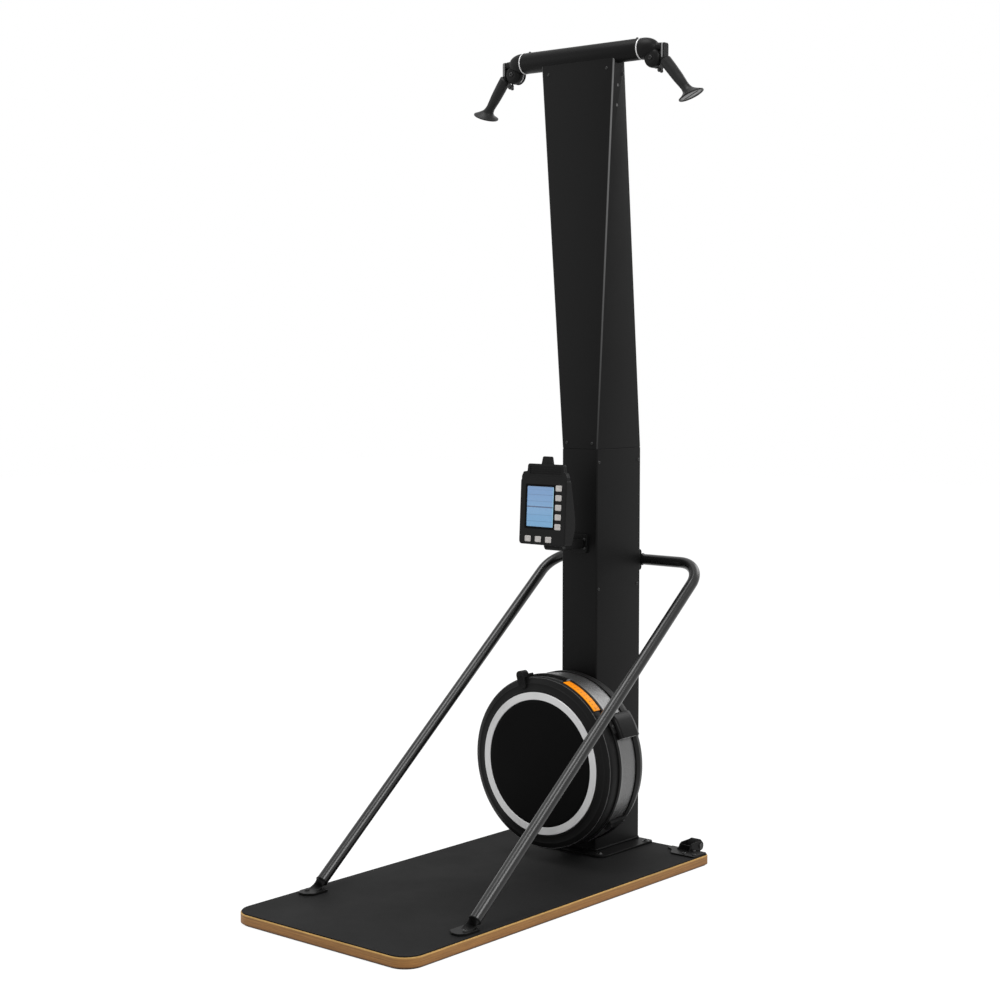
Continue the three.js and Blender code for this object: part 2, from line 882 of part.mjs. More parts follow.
function guideBracket() {
  const depth = guidePlateY - barY;
  const top = barZ - Math.sqrt(barRadius ** 2 - depth ** 2) - seatGap;
  const half = guidePlateWidth / 2;
  const plate = block(-half, half, guidePlateY, guidePlateY + guidePlateThickness, top - guidePlateHeight, top);
  const pin = (side) =>
    rod(
      "y",
      sheavePinRadius,
      cordY - sheaveWidth / 2 - runningGap,
      guidePlateY + guidePlateThickness / 2,
      { x: side * guideSpacing, z: lobeZ },
      smallSegments,
    );
  return join(plate, pin(1), pin(-1));
}

const guideSheave = (side) =>
  sheave("y", cordY, sheavePitchRadius, sheaveFlangeRadius, sheaveWidth, cordRadius, {
    x: side * guideSpacing,
    z: lobeZ,
  });

// Drums: each has a groove for its drive cord and a smaller one for the return cord.
const drumWidth = drumGrooveWidth + returnGrooveWidth + 3 * drumFlangeWidth;
const firstDrumY = columnFrontY + firstDrumGap;
const drumStart = { left: firstDrumY, right: firstDrumY + drumSpacing };
const innerPlateY = drumStart.right + drumWidth + drumBearingGap;
const drumFacing = { left: 1, right: -1 };

function drumPlaces(side) {
  const start = drumStart[side];
  const main = drumFlangeWidth + drumGrooveWidth / 2;
  const back = drumFlangeWidth * 2 + drumGrooveWidth + returnGrooveWidth / 2;
  return side === "left"
    ? { main: start + main, back: start + back }
    : { main: start + drumWidth - main, back: start + drumWidth - back };
}

function cordDrum(side) {
  const start = drumStart[side];
  const facing = drumFacing[side];
  const origin = facing > 0 ? start : start + drumWidth;
  const bore = turnsAround(axleRadius, innerSegments);
  const mainFloor = drumPitchRadius - cordRadius - seatGap;
  const backFloor = returnPitchRadius - returnCordRadius - seatGap;
  const steps = [drumFlangeWidth, drumGrooveWidth, drumFlangeWidth, returnGrooveWidth, drumFlangeWidth];
  const radii = [drumFlangeRadius, mainFloor, drumFlangeRadius, backFloor, drumPitchRadius];
  const profile = [[bore, origin]];
  let along = 0;
  steps.forEach((width, k) => {
    profile.push([radii[k], origin + facing * along]);
    along += width;
    profile.push([radii[k], origin + facing * along]);
  });
  profile.push([bore, origin + facing * along]);
  return turned("y", profile, atAxle, innerSegments);
}

// Drive cord: from its drum up the column, over the guide sheave and along the bar
function driveCord(side) {
  const sign = side === "left" ? -1 : 1;
  const rise = sign * (guideSpacing - sheavePitchRadius);
  const centre = new THREE.Vector3(sign * guideSpacing, cordY, lobeZ);
  const inward = new THREE.Vector3(-sign, 0, 0);
  const up = new THREE.Vector3(0, 0, 1);
  const route = [
    new THREE.Vector3(drumPitchRadius, drumPlaces(side).main, axleZ),
    new THREE.Vector3(rise, cordY, lobeZ - sheavePitchRadius / 2),
    ...arcPoints(centre, inward, up, sheavePitchRadius, Math.PI / 2, bendSteps),
    new THREE.Vector3(sign * (headStart - seatGap), cordY, cordZ),
  ];
  return tube(route, cordRadius, cordSides);
}

// Return cord: elastic, from one drum up over the idler and down to the other
const backPlaces = { left: drumPlaces("left").back, right: drumPlaces("right").back };
const idlerPitchRadius = (backPlaces.right - backPlaces.left) / 2;
const idlerY = (backPlaces.right + backPlaces.left) / 2;
const idlerZ = axleZ + idlerRise;

function returnCord() {
  const x = -returnPitchRadius;
  const centre = new THREE.Vector3(x, idlerY, idlerZ);
  const front = new THREE.Vector3(0, -1, 0);
  const up = new THREE.Vector3(0, 0, 1);
  const route = [
    new THREE.Vector3(x, backPlaces.left, axleZ),
    ...arcPoints(centre, front, up, idlerPitchRadius, Math.PI, 2 * bendSteps),
    new THREE.Vector3(x, backPlaces.right, axleZ),
  ];
  return tube(route, returnCordRadius, cordSides);
}

const returnIdler = () =>
  sheave(
    "x",
    -returnPitchRadius,
    idlerPitchRadius,
    idlerPitchRadius + idlerFlangeGap,
    idlerWidth,
    returnCordRadius,
    { y: idlerY, z: idlerZ },
  );

// Inner bracket: holds the rear bearing between the column's sides and carries the idler on a strip
function innerBracket() {
  const half = columnWidth / 2 - columnWall - seatGap;
  const rear = innerPlateY + innerPlateThickness;
  const lugX = -returnPitchRadius - idlerWidth / 2 - 2 * runningGap - idlerLugThickness;
  const strip0 = lugX;
  const plate = block(-half, half, innerPlateY, rear, axleZ - innerPlateRise, axleZ + innerPlateRise);
  const topZ = idlerZ + 2 * idlerPitchRadius;
  const strip = block(strip0, strip0 + innerStripWidth, innerPlateY, rear, axleZ, topZ);
  const lug = block(
    lugX,
    lugX + idlerLugThickness,
    idlerY - idlerPitchRadius / 2,
    rear,
    idlerZ - idlerPitchRadius / 2,
    topZ,
  );
  const pin = rod(
    "x",
    sheavePinRadius,
    lugX,
    -returnPitchRadius + idlerWidth / 2 + 2 * runningGap,
    { y: idlerY, z: idlerZ },
    smallSegments,
  );
  const bossReach = bearingWidth / 3;
  const boss = rod("y", innerBossRadius, innerPlateY - bossReach, rear + bossReach, atAxle, innerSegments);
  const boreRadius = bearingRearRadius + seatGap;
  const bore = rod("y", boreRadius, innerPlateY - bearingWidth, rear + bearingWidth, atAxle, innerSegments);
  return cut(join(plate, strip, lug, pin, boss), bore);
}

function bearing(outerRadius, from, to) {
  const inner = turnsAround(axleRadius, innerSegments);
  return turned(
    "y",
    [
      [inner, from],
      [outerRadius, from],
      [outerRadius, to],
      [inner, to],
    ],
    atAxle,
    innerSegments,
  );
}

const rearBearingMiddle = innerPlateY + innerPlateThickness / 2;
const frontBearingRear = columnFrontY - 4 * seatGap;

// Axle with a collar behind the fan and a spacer between the drums
function driveAxle() {
  const collarFront = fanRearY + seatGap;
  const spacerFront = drumStart.left + drumWidth + seatGap;
  const spacerRear = drumStart.right - seatGap;
  const rear = rearBearingMiddle + bearingWidth + rearBearingGap;
  return turned(
    "y",
    [
      [0, fanFrontY - rearBearingGap],
      [axleRadius, fanFrontY - rearBearingGap],
      [axleRadius, collarFront],
      [axleCollarRadius, collarFront],
      [axleCollarRadius, collarFront + axleCollarWidth],
      [axleRadius, collarFront + axleCollarWidth],
      [axleRadius, spacerFront],
      [spacerRadius, spacerFront],
      [spacerRadius, spacerRear],
      [axleRadius, spacerRear],
      [axleRadius, rear],
      [0, rear],
    ],
    atAxle,
    innerSegments,
  );
}

// Flywheel fan: a disc with swept blades, tied at their tips by a rim
function fanBlade(turn) {
  const sweep = THREE.MathUtils.degToRad(bladeSweep);
  const inner = fanInnerRadius;
  const outer = fanRadius - fanRimWidth / 2;
  const edge = (offset) => {
    const points = [];
    for (let k = 0; k <= arcSteps; k += 1) {
      const share = k / arcSteps;
      const radius = inner + (outer - inner) * share;
      const angle = turn + sweep * share * share + offset / radius;
      points.push([radius * Math.cos(angle), axleZ + radius * Math.sin(angle)]);
    }
    return points;
  };
  const half = bladeThickness / 2;
  const shape = outline([...edge(-half), ...edge(half).reverse()]);
  return prism("y", shape, fanFrontY, fanRearY - fanDiscThickness / 2);
}

function flywheelFan() {
  const bore = axleRadius + seatGap;
  const hub = turned(
    "y",
    [
      [bore, fanFrontY],
      [fanHubRadius, fanFrontY],
      [fanHubRadius, fanRearY],
      [bore, fanRearY],
    ],
    atAxle,
    innerSegments,
  );
  const discFront = fanRearY - fanDiscThickness;
  const disc = turned(
    "y",
    [
      [(fanHubRadius + bore) / 2, discFront],
      [fanRadius, discFront],
      [fanRadius, fanRearY],
      [(fanHubRadius + bore) / 2, fanRearY],
    ],
    atAxle,
    fineSegments,
  );
  const rim = turned(
    "y",
    [
      [fanRadius - fanRimWidth, fanFrontY],
      [fanRadius, fanFrontY],
      [fanRadius, fanFrontY + fanRimWidth],
      [fanRadius - fanRimWidth, fanFrontY + fanRimWidth],
    ],
    atAxle,
    fineSegments,
  );
  const blades = [];
  for (let k = 0; k < bladeCount; k += 1) blades.push(fanBlade((2 * Math.PI * k) / bladeCount));
  return join(hub, disc, rim, ...blades);
}

// Housing: front cover with a slightly crowned disc, a groove for the bright ring and a sloping shoulder
function frontCover() {
  const shoulder = ringOuterRadius + seatGap;
  const grooveFloor = coverFaceY + ringThickness - ringProud;
  const discEdge = ringInnerRadius - seatGap;
  const profile = [];
  for (let k = 0; k <= arcSteps; k += 1) {
    const share = k / arcSteps;
    profile.push([discEdge * share, coverFaceY - ringProud - discCrown * (1 - share * share)]);
  }
  const behind = coverFaceY + ringThickness + shellWall;
  profile.push(
    [discEdge, grooveFloor],
    [shoulder, grooveFloor],
    [shoulder, coverFaceY],
    [coverLipRadius - shellWall, coverRimY - shellWall / 2],
    [coverLipRadius, coverRimY + shellWall / 3],
    [coverLipRadius, coverLipY],
    [cageRearRadius + seatGap, coverLipY],
    [cageRearRadius + seatGap, coverRimY],
    [shoulder, behind],
    [discEdge, behind],
    [0, behind - ringProud - discCrown],
  );
  return turned("y", profile, atAxle, fineSegments);
}

function coverRing() {
  const floor = coverFaceY + ringThickness - ringProud - seatGap;
  return turned(
    "y",
    [
      [ringInnerRadius, floor],
      [ringInnerRadius, floor - ringThickness],
      [ringOuterRadius, floor - ringThickness],
      [ringOuterRadius, floor],
    ],
    atAxle,
    fineSegments,
  );
}

// Air cage: a rolled grille with a narrow band in front, a step, and a wide band that tapers to the rear
function airCage() {
  const step = cageFrontY;
  const neckFront = coverRimY + 2 * seatGap;
  const shell = turned(
    "y",
    [
      [cageRearRadius, neckFront],
      [cageRearRadius, step],
      [cageFrontRadius, step],
      [cageRearRadius, cageRearY],
      [cageRearRadius - cageSheet, cageRearY],
      [cageFrontRadius - cageSheet, step + cageSheet],
      [cageRearRadius - cageSheet, step + cageSheet],
      [cageRearRadius - cageSheet, neckFront],
    ],
    atAxle,
    fineSegments,
  );
  const slots = [];
  for (let k = 0; k < cageSlots; k += 1) {
    const turn = (2 * Math.PI * (k + slotPhaseShare)) / cageSlots;
    for (const [from, to] of [
      [coverLipY + cageBandMargin, step - cageBandMargin],
      [step + cageBandMargin, cageRearY - 2 * cageBandMargin],
    ]) {
      const geometry = new THREE.BoxGeometry(cageSlotWidth, to - from, 8 * cageSheet);
      geometry.translate(0, (from + to) / 2, cageRearRadius + cageSheet);
      geometry.rotateY(turn);
      geometry.translate(0, 0, axleZ);
      slots.push(solidFrom(geometry));
    }
  }
  return cut(shell, ...slots);
}

// Rear shell: closes the housing, holds the front bearing in its boss and seats on the column
function rearShell() {
  const bore = bearingFrontRadius + seatGap;
  const lipInner = (y) => cageRadiusAt(y) + seatGap;
  const lipFront = shellLipY - shellLipWidth;
  const wallFront = housingRearY - shellWall;
  const rimRadius = cageRearRadius - shellBackInset;
  const shell = turned(
    "y",
    [
      [bore, wallFront - shellWall],
      [bore + 2 * shellWall, wallFront - shellWall],
      [bore + 2 * shellWall, wallFront],
      [rimRadius, wallFront],
      [lipInner(shellLipY), shellLipY + 2 * shellWall],
      [lipInner(shellLipY), shellLipY],
      [lipInner(lipFront), lipFront],
      [lipInner(lipFront) + shellWall, lipFront],
      [lipInner(lipFront) + shellWall, shellLipY + 3 * shellWall],
      [rimRadius + shellWall, housingRearY],
      [shellBossRadius, housingRearY],
      [shellBossRadius, columnFrontY - seatGap],
      [bore, columnFrontY - seatGap],
    ],
    atAxle,
    fineSegments,
  );
  const front = cageFrontY + 2 * seatGap;
  const clip = (angle) =>
    sector(
      turned(
        "y",
        [
          [cageFrontRadius + runningGap, front],
          [cageFrontRadius + clipHeight, front],
          [cageRearRadius + clipHeight, shellLipY],
          [lipInner(shellLipY) + shellWall / 2, shellLipY],
        ],
        atAxle,
        fineSegments,
      ),
      angle - clipSpan / 2,
      angle + clipSpan / 2,
      cageFrontRadius,
    );
  return join(shell, clip(clipAngle), clip(180 - clipAngle));
}

// Smooth block over the grille at two and ten o'clock
function sideCover() {
  const inner = (y) => cageRadiusAt(y) + 2 * runningGap;
  const lipFront = shellLipY - shellLipWidth;
  const lipOuter = cageRadiusAt(lipFront) + seatGap + shellWall + runningGap;
  const front = cageFrontY + 2 * seatGap;
  const ring = turned(
    "y",
    [
      [inner(front), front],
      [inner(front) + sideCoverHeight * sideCoverFrontShare, front],
      [inner(front) + sideCoverHeight, front + sideCoverHeight / 2],
      [lipOuter + sideCoverHeight * sideCoverRearShare, shellLipY],
      [lipOuter + sideCoverHeight / 2, shellLipY + shellDepth / 2],
      [lipOuter, shellLipY + shellDepth / 2],
      [lipOuter, lipFront],
      [inner(lipFront), lipFront - shellWall],
    ],
    atAxle,
    fineSegments,
  );
  return sector(ring, sideCoverStart, sideCoverEnd, cageFrontRadius);
}

// Damper ring: turns about the flywheel's axis and shows the grille through its window
function damperRing() {
  const front = coverLipY + 2 * seatGap;
  const rimFront = cageFrontY - seatGap - damperRimWidth;
  const inner = damperBandRadius;
  const ring = turned(
    "y",
    [
      [inner, front],
      [inner + damperBandThickness, front],
      [inner + damperBandThickness, rimFront],
      [damperRimRadius, rimFront],
      [damperRimRadius, rimFront + damperRimWidth],
      [inner, rimFront + damperRimWidth],
    ],
    atAxle,
    fineSegments,
  );
  const window = sector(
    turned(
      "y",
      [
        [inner - cutOverrun, front + damperWindowMargin],
        [inner + cutOverrun, front + damperWindowMargin],
        [inner + cutOverrun, rimFront - damperWindowMargin],
        [inner - cutOverrun, rimFront - damperWindowMargin],
      ],
      atAxle,
      fineSegments,
    ),
    damperWindowStart,
    damperWindowEnd,
    damperRimRadius,
  );
  return join(cut(ring, window), damperLever());
}

// The lever rises from the ring's rim, passes over the cover's lip and ends in a ribbed thumb piece.
function damperLever() {
  const clear = coverLipRadius + 2 * runningGap;
  const faceRear = coverFaceY - runningGap * 2;
  const faceFront = faceRear - leverThickness;
  const rimMiddle = cageFrontY - seatGap - damperRimWidth / 2;
  const half = leverWidth / 2;
  const turn = THREE.MathUtils.degToRad(90 - leverAngle);
  const place = (geometry) => {
    geometry.rotateY(turn);
    geometry.translate(0, 0, axleZ);
    return solidFrom(geometry);
  };
  const bar = new THREE.BoxGeometry(leverWidth, rimMiddle - faceFront, leverReach - clear - half);
  bar.translate(0, (rimMiddle + faceFront) / 2, (clear + leverReach - half) / 2);
  const stem = new THREE.BoxGeometry(leverWidth, leverThickness, leverReach - half - leverFoot);
  stem.translate(0, (faceFront + faceRear) / 2, (leverReach - half + leverFoot) / 2);
  const head = new THREE.CylinderGeometry(
    leverHeadRadius,
    leverHeadRadius,
    leverHeadDepth,
    smallSegments,
  );
  head.translate(0, faceFront + leverHeadDepth / 2, leverReach - leverHeadRadius);
  const bite = rimMiddle - cageFrontY + cutOverrun;
  const link = new THREE.BoxGeometry(leverWidth, -bite, clear - damperBandRadius);
  link.translate(0, rimMiddle, (clear + damperBandRadius + damperBandThickness) / 2);
  return join(place(bar), place(stem), place(head), place(link));
}

function scaleStrip() {
  const front = coverLipY + seatGap;
  const rear = cageFrontY - seatGap - damperRimWidth - seatGap;
  const ring = turned(
    "y",
    [
      [scaleRadius, front],
      [scaleRadius + scaleThickness, front],
      [scaleRadius + scaleThickness, rear],
      [scaleRadius, rear],
    ],
    atAxle,
    fineSegments,
  );
  return sector(ring, scaleStart, scaleEnd, coverLipRadius);
}

// Monitor: built upright about its tilt axis, in a group that leans back
const tiltY = columnFrontY - tiltAxisReach;
const tiltZ = boardTop + armRise;
const faceY = -(monitorReach - tiltAxisReach);
const faceZ = monitorRise - armRise;
const backY = faceY + monitorDepth;

function monitorBody() {
  const halfWidth = monitorWidth / 2;
  const halfHeight = monitorHeight / 2;
  const shape = roundedRectangle(-halfWidth, halfWidth, faceZ - halfHeight, faceZ + halfHeight, monitorRadius);
  const side = outline([
    [faceY, faceZ - halfHeight],
    [faceY + monitorBottomDepth, faceZ - halfHeight],
    [backY, faceZ + monitorHumpBottom],
    [backY, faceZ + monitorHumpTop],
    [faceY + monitorTopDepth, faceZ + halfHeight],
    [faceY, faceZ + halfHeight],
  ]);
  const body = prism("y", shape, faceY, backY).intersect(prism("x", side, -halfWidth, halfWidth));
  const top = faceZ + halfHeight;
  const dockHalf = dockWidth / 2;
  const tabHalf = dockTabWidth / 2;
  const dock = outline([
    [-dockHalf - dockTaper, top - monitorRadius],
    [dockHalf + dockTaper, top - monitorRadius],
    [dockHalf, top + dockHeight],
    [tabHalf + dockTaper, top + dockHeight],
    [tabHalf, top + dockHeight + dockTabHeight],
    [-tabHalf, top + dockHeight + dockTabHeight],
    [-tabHalf - dockTaper, top + dockHeight],
    [-dockHalf, top + dockHeight],
  ]);
  const cradle = prism("y", dock, faceY + dockSetback, faceY + dockSetback + dockDepth);
  const lensPocket = block(
    lensOffsetX - lensWidth / 2 - seatGap,
    lensOffsetX + lensWidth / 2 + seatGap,
    faceY - cutOverrun,
    faceY + lensThickness + seatGap,
    faceZ + lensOffsetZ - lensHeight / 2 - seatGap,
    faceZ + lensOffsetZ + lensHeight / 2 + seatGap,
  );
  const pockets = keyPlaces().map(({ x, z }) => {
    const [w, h] = [keyWidth / 2 + keyGap, keyHeight / 2 + keyGap];
    const hole = roundedRectangle(x - w, x + w, z - h, z + h, keyRadius);
    return prism("y", hole, faceY - cutOverrun, faceY + keyDepth + keyProud, 1);
  });
  const ears = [1, -1].map((side) => {
    const inner = side * (armWidth / 2 + runningGap);
    const outer = inner + side * earThickness;
    const [x0, x1] = [Math.min(inner, outer), Math.max(inner, outer)];
    const shape = outline([
      [-tiltBarrelRadius, 0],
      [tiltBarrelRadius, 0],
      [backY + tiltBarrelRadius / 2, faceZ + monitorHumpBottom - tiltBarrelRadius],
      [backY - tiltBarrelRadius, faceZ + monitorHumpBottom - tiltBarrelRadius],
      [faceY + monitorBottomDepth - tiltBarrelRadius / 2, faceZ - halfHeight + monitorRadius],
    ]);
    const web = prism("x", shape, x0, x1);
    const eye = rod("x", tiltBarrelRadius, x0, x1, {}, smallSegments);
    return join(web, eye);
  });
  const pinBore = rod("x", tiltPinRadius + seatGap, -armWidth, armWidth, {}, smallSegments);
  return cut(join(body, cradle, ...ears), lensPocket, pinBore, ...pockets);
}

function keyPlaces() {
  const places = [];
  for (let k = 0; k < sideKeyCount; k += 1) {
    places.push({ name: `side_key_${k + 1}`, x: sideKeyX, z: faceZ + sideKeyTop - k * sideKeyPitch });
  }
  for (let k = 0; k < lowKeyCount; k += 1) {
    places.push({ name: `low_key_${k + 1}`, x: lowKeyX + k * lowKeyPitch, z: faceZ + lowKeyZ });
  }
  return places;
}

function monitorKey({ x, z }) {
  const [w, h] = [keyWidth / 2, keyHeight / 2];
  const shape = roundedRectangle(x - w, x + w, z - h, z + h, keyRadius);
  return prism("y", shape, faceY - keyProud, faceY - keyProud + keyDepth, 1);
}

const monitorLens = () =>
  block(
    lensOffsetX - lensWidth / 2,
    lensOffsetX + lensWidth / 2,
    faceY,
    faceY + lensThickness,
    faceZ + lensOffsetZ - lensHeight / 2,
    faceZ + lensOffsetZ + lensHeight / 2,
  );

function monitorArm() {
  const plateFront = columnFrontY - seatGap - armPlateThickness;
  const plateShape = roundedRectangle(
    -armPlateWidth / 2,
    armPlateWidth / 2,
    tiltZ - armPlateHeight / 2,
    tiltZ + armPlateHeight / 2,
    armPlateThickness / 2,
  );
  const plate = prism("y", plateShape, plateFront, columnFrontY - seatGap);
  const half = armWidth / 2;
  const beam = block(-half, half, tiltY, plateFront + seatGap, tiltZ - armHeight / 2, tiltZ + armHeight / 2);
  const barrel = rod("x", tiltBarrelRadius, -half, half, { y: tiltY, z: tiltZ }, smallSegments);
  const pinEnd = half + runningGap + earThickness;
  const pin = rod("x", tiltPinRadius, -pinEnd, pinEnd, { y: tiltY, z: tiltZ }, smallSegments);
  return join(plate, beam, barrel, pin);
}

// Transport wheels and their brackets, for the right side
const wheelY = boardRearY + wheelOverhang;
const wheelZ = boardTop + wheelRise;

function transportWheel() {
  const half = wheelWidth / 2;
  const bore = wheelPinRadius + seatGap;
  return turned(
    "x",
    [
      [bore, wheelX - half],
      [wheelRadius - wheelCrown, wheelX - half],
      [wheelRadius, wheelX - half + wheelCrown],
      [wheelRadius, wheelX + half - wheelCrown],
      [wheelRadius - wheelCrown, wheelX + half],
      [bore, wheelX + half],
    ],
    { y: wheelY, z: wheelZ },
  );
}

// A plate on the board's corner, two cheeks that reach past the board's edge, and the wheel's fixed pin
function wheelBracket() {
  const rear = boardRearY - wheelPlateSetback;
  const top = boardTop + wheelPlateThickness;
  const plate = prism(
    "z",
    outline([
      [wheelPlateInner, rear],
      [wheelPlateInner, rear - wheelPlateLength / 3],
      [wheelPlateInner + wheelPlateLength / 3, rear - wheelPlateLength / 2],
      [wheelX - wheelWidth / 2, rear - wheelPlateLength],
      [wheelPlateOuter, rear - wheelPlateLength],
      [wheelPlateOuter, rear],
    ]),
    boardTop,
    top,
  );
  const centre = { y: wheelY, z: wheelZ };
  const cheek = (side) => {
    const near = wheelX + side * (wheelWidth / 2 + runningGap);
    const far = near + side * cheekThickness;
    const [x0, x1] = [Math.min(near, far), Math.max(near, far)];
    const shape = outline([
      [rear - 2 * cheekRadius, top - wheelPlateThickness / 2],
      [boardRearY + seatGap, top - wheelPlateThickness / 2],
      [wheelY, wheelZ - cheekRadius],
      [wheelY, wheelZ + cheekRadius],
      [rear - cheekRadius, wheelZ + cheekRadius],
    ]);
    return join(prism("x", shape, x0, x1), rod("x", cheekRadius, x0, x1, centre, smallSegments));
  };
  const pinEnd = wheelWidth / 2 + runningGap + cheekThickness;
  const pin = rod("x", wheelPinRadius, wheelX - pinEnd, wheelX + pinEnd, centre, smallSegments);
  const headStartX = wheelX + pinEnd - seatGap;
  const pinHead = rod("x", pinHeadRadius, headStartX, headStartX + pinHeadThickness, centre, smallSegments);
  return join(plate, cheek(1), cheek(-1), pin, pinHead);
}

// Finishes
const finish = (color, roughness, metalness = 0) =>
  new THREE.MeshStandardMaterial({ color, roughness, metalness });
const wood = finish("#a87a48", 0.55);
const matRubber = finish("#333333", 0.85);
const rubber = finish("#1d1d1d", 0.9);
const blackPaint = finish("#222222", 0.45, 0.2);
const blackPlastic = finish("#1b1b1b", 0.5);
const brightRing = finish("#c4c4c4", 0.3, 0.8);
const steel = finish("#8d8d90", 0.35, 0.9);
const grille = finish("#77777a", 0.45, 0.6);
const cordCover = finish("#2a2a2a", 0.8);
const orangeFilm = finish("#f59616", 0.5);
const lensFilm = finish("#7aa6d2", 0.25);
const keyRubber = finish("#bdb8b3", 0.6);

// Assembly
const machine = new THREE.Group();
machine.name = "ski_trainer";

function add(parent, name, solid, material) {
  const mesh = new THREE.Mesh(geometryFrom(solid), material);
  mesh.name = name;
  parent.add(mesh);
}

add(machine, "base_board", boardSlab(0, underlayThickness, woodTop), wood);
add(machine, "anti_slip_mat", boardSlab(matInset, woodTop, boardTop), matRubber);
add(machine, "rubber_underlay", boardSlab(underlayInset, 0, underlayThickness), rubber);
add(machine, "support_frame", supportFrame(), blackPaint);
add(machine, "lower_column", lowerColumn(), blackPaint);
add(machine, "upper_mast", upperMast(), blackPaint);
add(machine, "top_bar", topBar(), blackPaint);
add(machine, "guide_bracket", guideBracket(), steel);
add(machine, "inner_bracket", innerBracket(), steel);
add(machine, "return_cord", returnCord(), cordCover);
add(machine, "return_idler", returnIdler(), blackPlastic);
add(machine, "flywheel_fan", flywheelFan(), steel);
add(machine, "drive_axle", driveAxle(), steel);
add(machine, "front_bearing", bearing(bearingFrontRadius, frontBearingRear - bearingWidth, frontBearingRear), steel);
add(
  machine,
  "rear_bearing",
  bearing(bearingRearRadius, rearBearingMiddle - bearingWidth / 2, rearBearingMiddle + bearingWidth / 2),
  steel,
);
add(machine, "front_cover", frontCover(), blackPlastic);
add(machine, "cover_ring", coverRing(), brightRing);
add(machine, "air_cage", airCage(), grille);
add(machine, "rear_shell", rearShell(), blackPlastic);
add(machine, "damper_ring", damperRing(), blackPlastic);
add(machine, "scale_strip", scaleStrip(), orangeFilm);
add(machine, "monitor_arm", monitorArm(), blackPaint);

for (const side of ["left", "right"]) {
  const sign = side === "left" ? -1 : 1;
  const half = new THREE.Group();
  half.scale.x = sign;
  machine.add(half);
  add(half, `${side}_frame_foot`, frameFoot(), blackPaint);
  add(half, `${side}_swivel_ring`, swivelRing(), brightRing);
  add(half, `${side}_pulley_head`, pulleyHead(), blackPlastic);
  const headSheave = sheave("y", cordY, sheavePitchRadius, sheaveFlangeRadius, sheaveWidth, cordRadius, {
    x: lobeX,
    z: lobeZ,
  });
  add(half, `${side}_head_sheave`, headSheave, steel);
  add(half, `${side}_head_cord`, headCord(), cordCover);
  add(half, `${side}_pull_cord`, pullCord(), cordCover);
  add(half, `${side}_cord_stop`, cordStop(), steel);
  add(half, `${side}_handle`, handleGrip(), blackPlastic);
  add(half, `${side}_side_cover`, sideCover(), blackPlastic);
  add(half, `${side}_wheel`, transportWheel(), rubber);
  add(half, `${side}_wheel_bracket`, wheelBracket(), blackPaint);
  add(machine, `${side}_guide_sheave`, guideSheave(sign), blackPlastic);
  add(machine, `${side}_drive_cord`, driveCord(side), cordCover);
  add(machine, `${side}_cord_drum`, cordDrum(side), blackPlastic);
}

const monitor = new THREE.Group();
monitor.position.set(0, tiltY, tiltZ);
monitor.rotation.x = -THREE.MathUtils.degToRad(monitorTilt);
machine.add(monitor);
add(monitor, "monitor_body", monitorBody(), blackPlastic);
add(monitor, "monitor_lens", monitorLens(), lensFilm);
for (const place of keyPlaces()) add(monitor, place.name, monitorKey(place), keyRubber);

export default machine;
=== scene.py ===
# Ski trainer: its looks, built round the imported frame. Shapes are listed in millimetres.
import math

import bmesh
import bpy
from mathutils import Matrix, Vector


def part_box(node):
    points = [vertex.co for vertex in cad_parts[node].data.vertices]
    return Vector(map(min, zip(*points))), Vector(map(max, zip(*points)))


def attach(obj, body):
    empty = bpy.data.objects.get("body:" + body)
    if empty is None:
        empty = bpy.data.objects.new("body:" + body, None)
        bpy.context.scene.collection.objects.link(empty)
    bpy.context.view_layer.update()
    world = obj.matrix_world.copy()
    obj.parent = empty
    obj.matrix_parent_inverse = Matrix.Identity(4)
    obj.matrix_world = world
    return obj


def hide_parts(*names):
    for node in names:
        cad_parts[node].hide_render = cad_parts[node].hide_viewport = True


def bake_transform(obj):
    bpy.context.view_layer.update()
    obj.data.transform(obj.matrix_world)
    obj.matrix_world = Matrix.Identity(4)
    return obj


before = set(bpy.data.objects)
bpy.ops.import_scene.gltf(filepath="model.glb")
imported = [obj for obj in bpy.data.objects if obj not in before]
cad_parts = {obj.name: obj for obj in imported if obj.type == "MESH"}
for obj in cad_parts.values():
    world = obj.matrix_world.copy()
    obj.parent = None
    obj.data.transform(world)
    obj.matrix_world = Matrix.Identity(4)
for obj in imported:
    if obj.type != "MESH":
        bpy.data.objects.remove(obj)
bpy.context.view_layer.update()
scene = bpy.context.scene
unit = 0.001  # metres in a millimetre
print("frame loaded")

# Camera, light and floor, in metres
view = {
    "place": (3.1668, -3.66845, 1.3868), "tilt": 85.65, "turn": 40.44,
    "lens": 68.42, "sensor": 36.0, "far": 100,
}
studio = {
    "target": (0.0, 0.1, 1.0), "floorSize": 30.0, "floorGlow": 0.93, "skyGlow": 0.5,
    "floorColour": (0.8, 0.8, 0.8, 1.0), "floorShade": (0.16, 0.16, 0.16, 1.0),
    "lamps": {  # place, size, power
        "keyLamp": ((4.4, -0.8, 4.2), 2.2, 150.0),
        "fillLamp": ((-3.8, -3.2, 2.4), 3.0, 36.0),
        "topLamp": ((-0.4, -0.6, 5.2), 2.0, 90.0),
        "backLamp": ((0.8, 4.2, 3.4), 2.6, 60.0),
    },
}


def feed(tree, node, feeds):  # a socket takes a value, or the output that drives it
    for key, value in feeds.items():
        if isinstance(value, bpy.types.NodeSocket):
            tree.links.new(value, node.inputs[key])
        else:
            node.inputs[key].default_value = value


def add(tree, kind, feeds={}, out=0, **settings):
    node = tree.nodes.new("ShaderNode" + kind)
    for key, value in settings.items():
        setattr(node, key, value)
    feed(tree, node, feeds)
    return node.outputs[out] if node.outputs else None


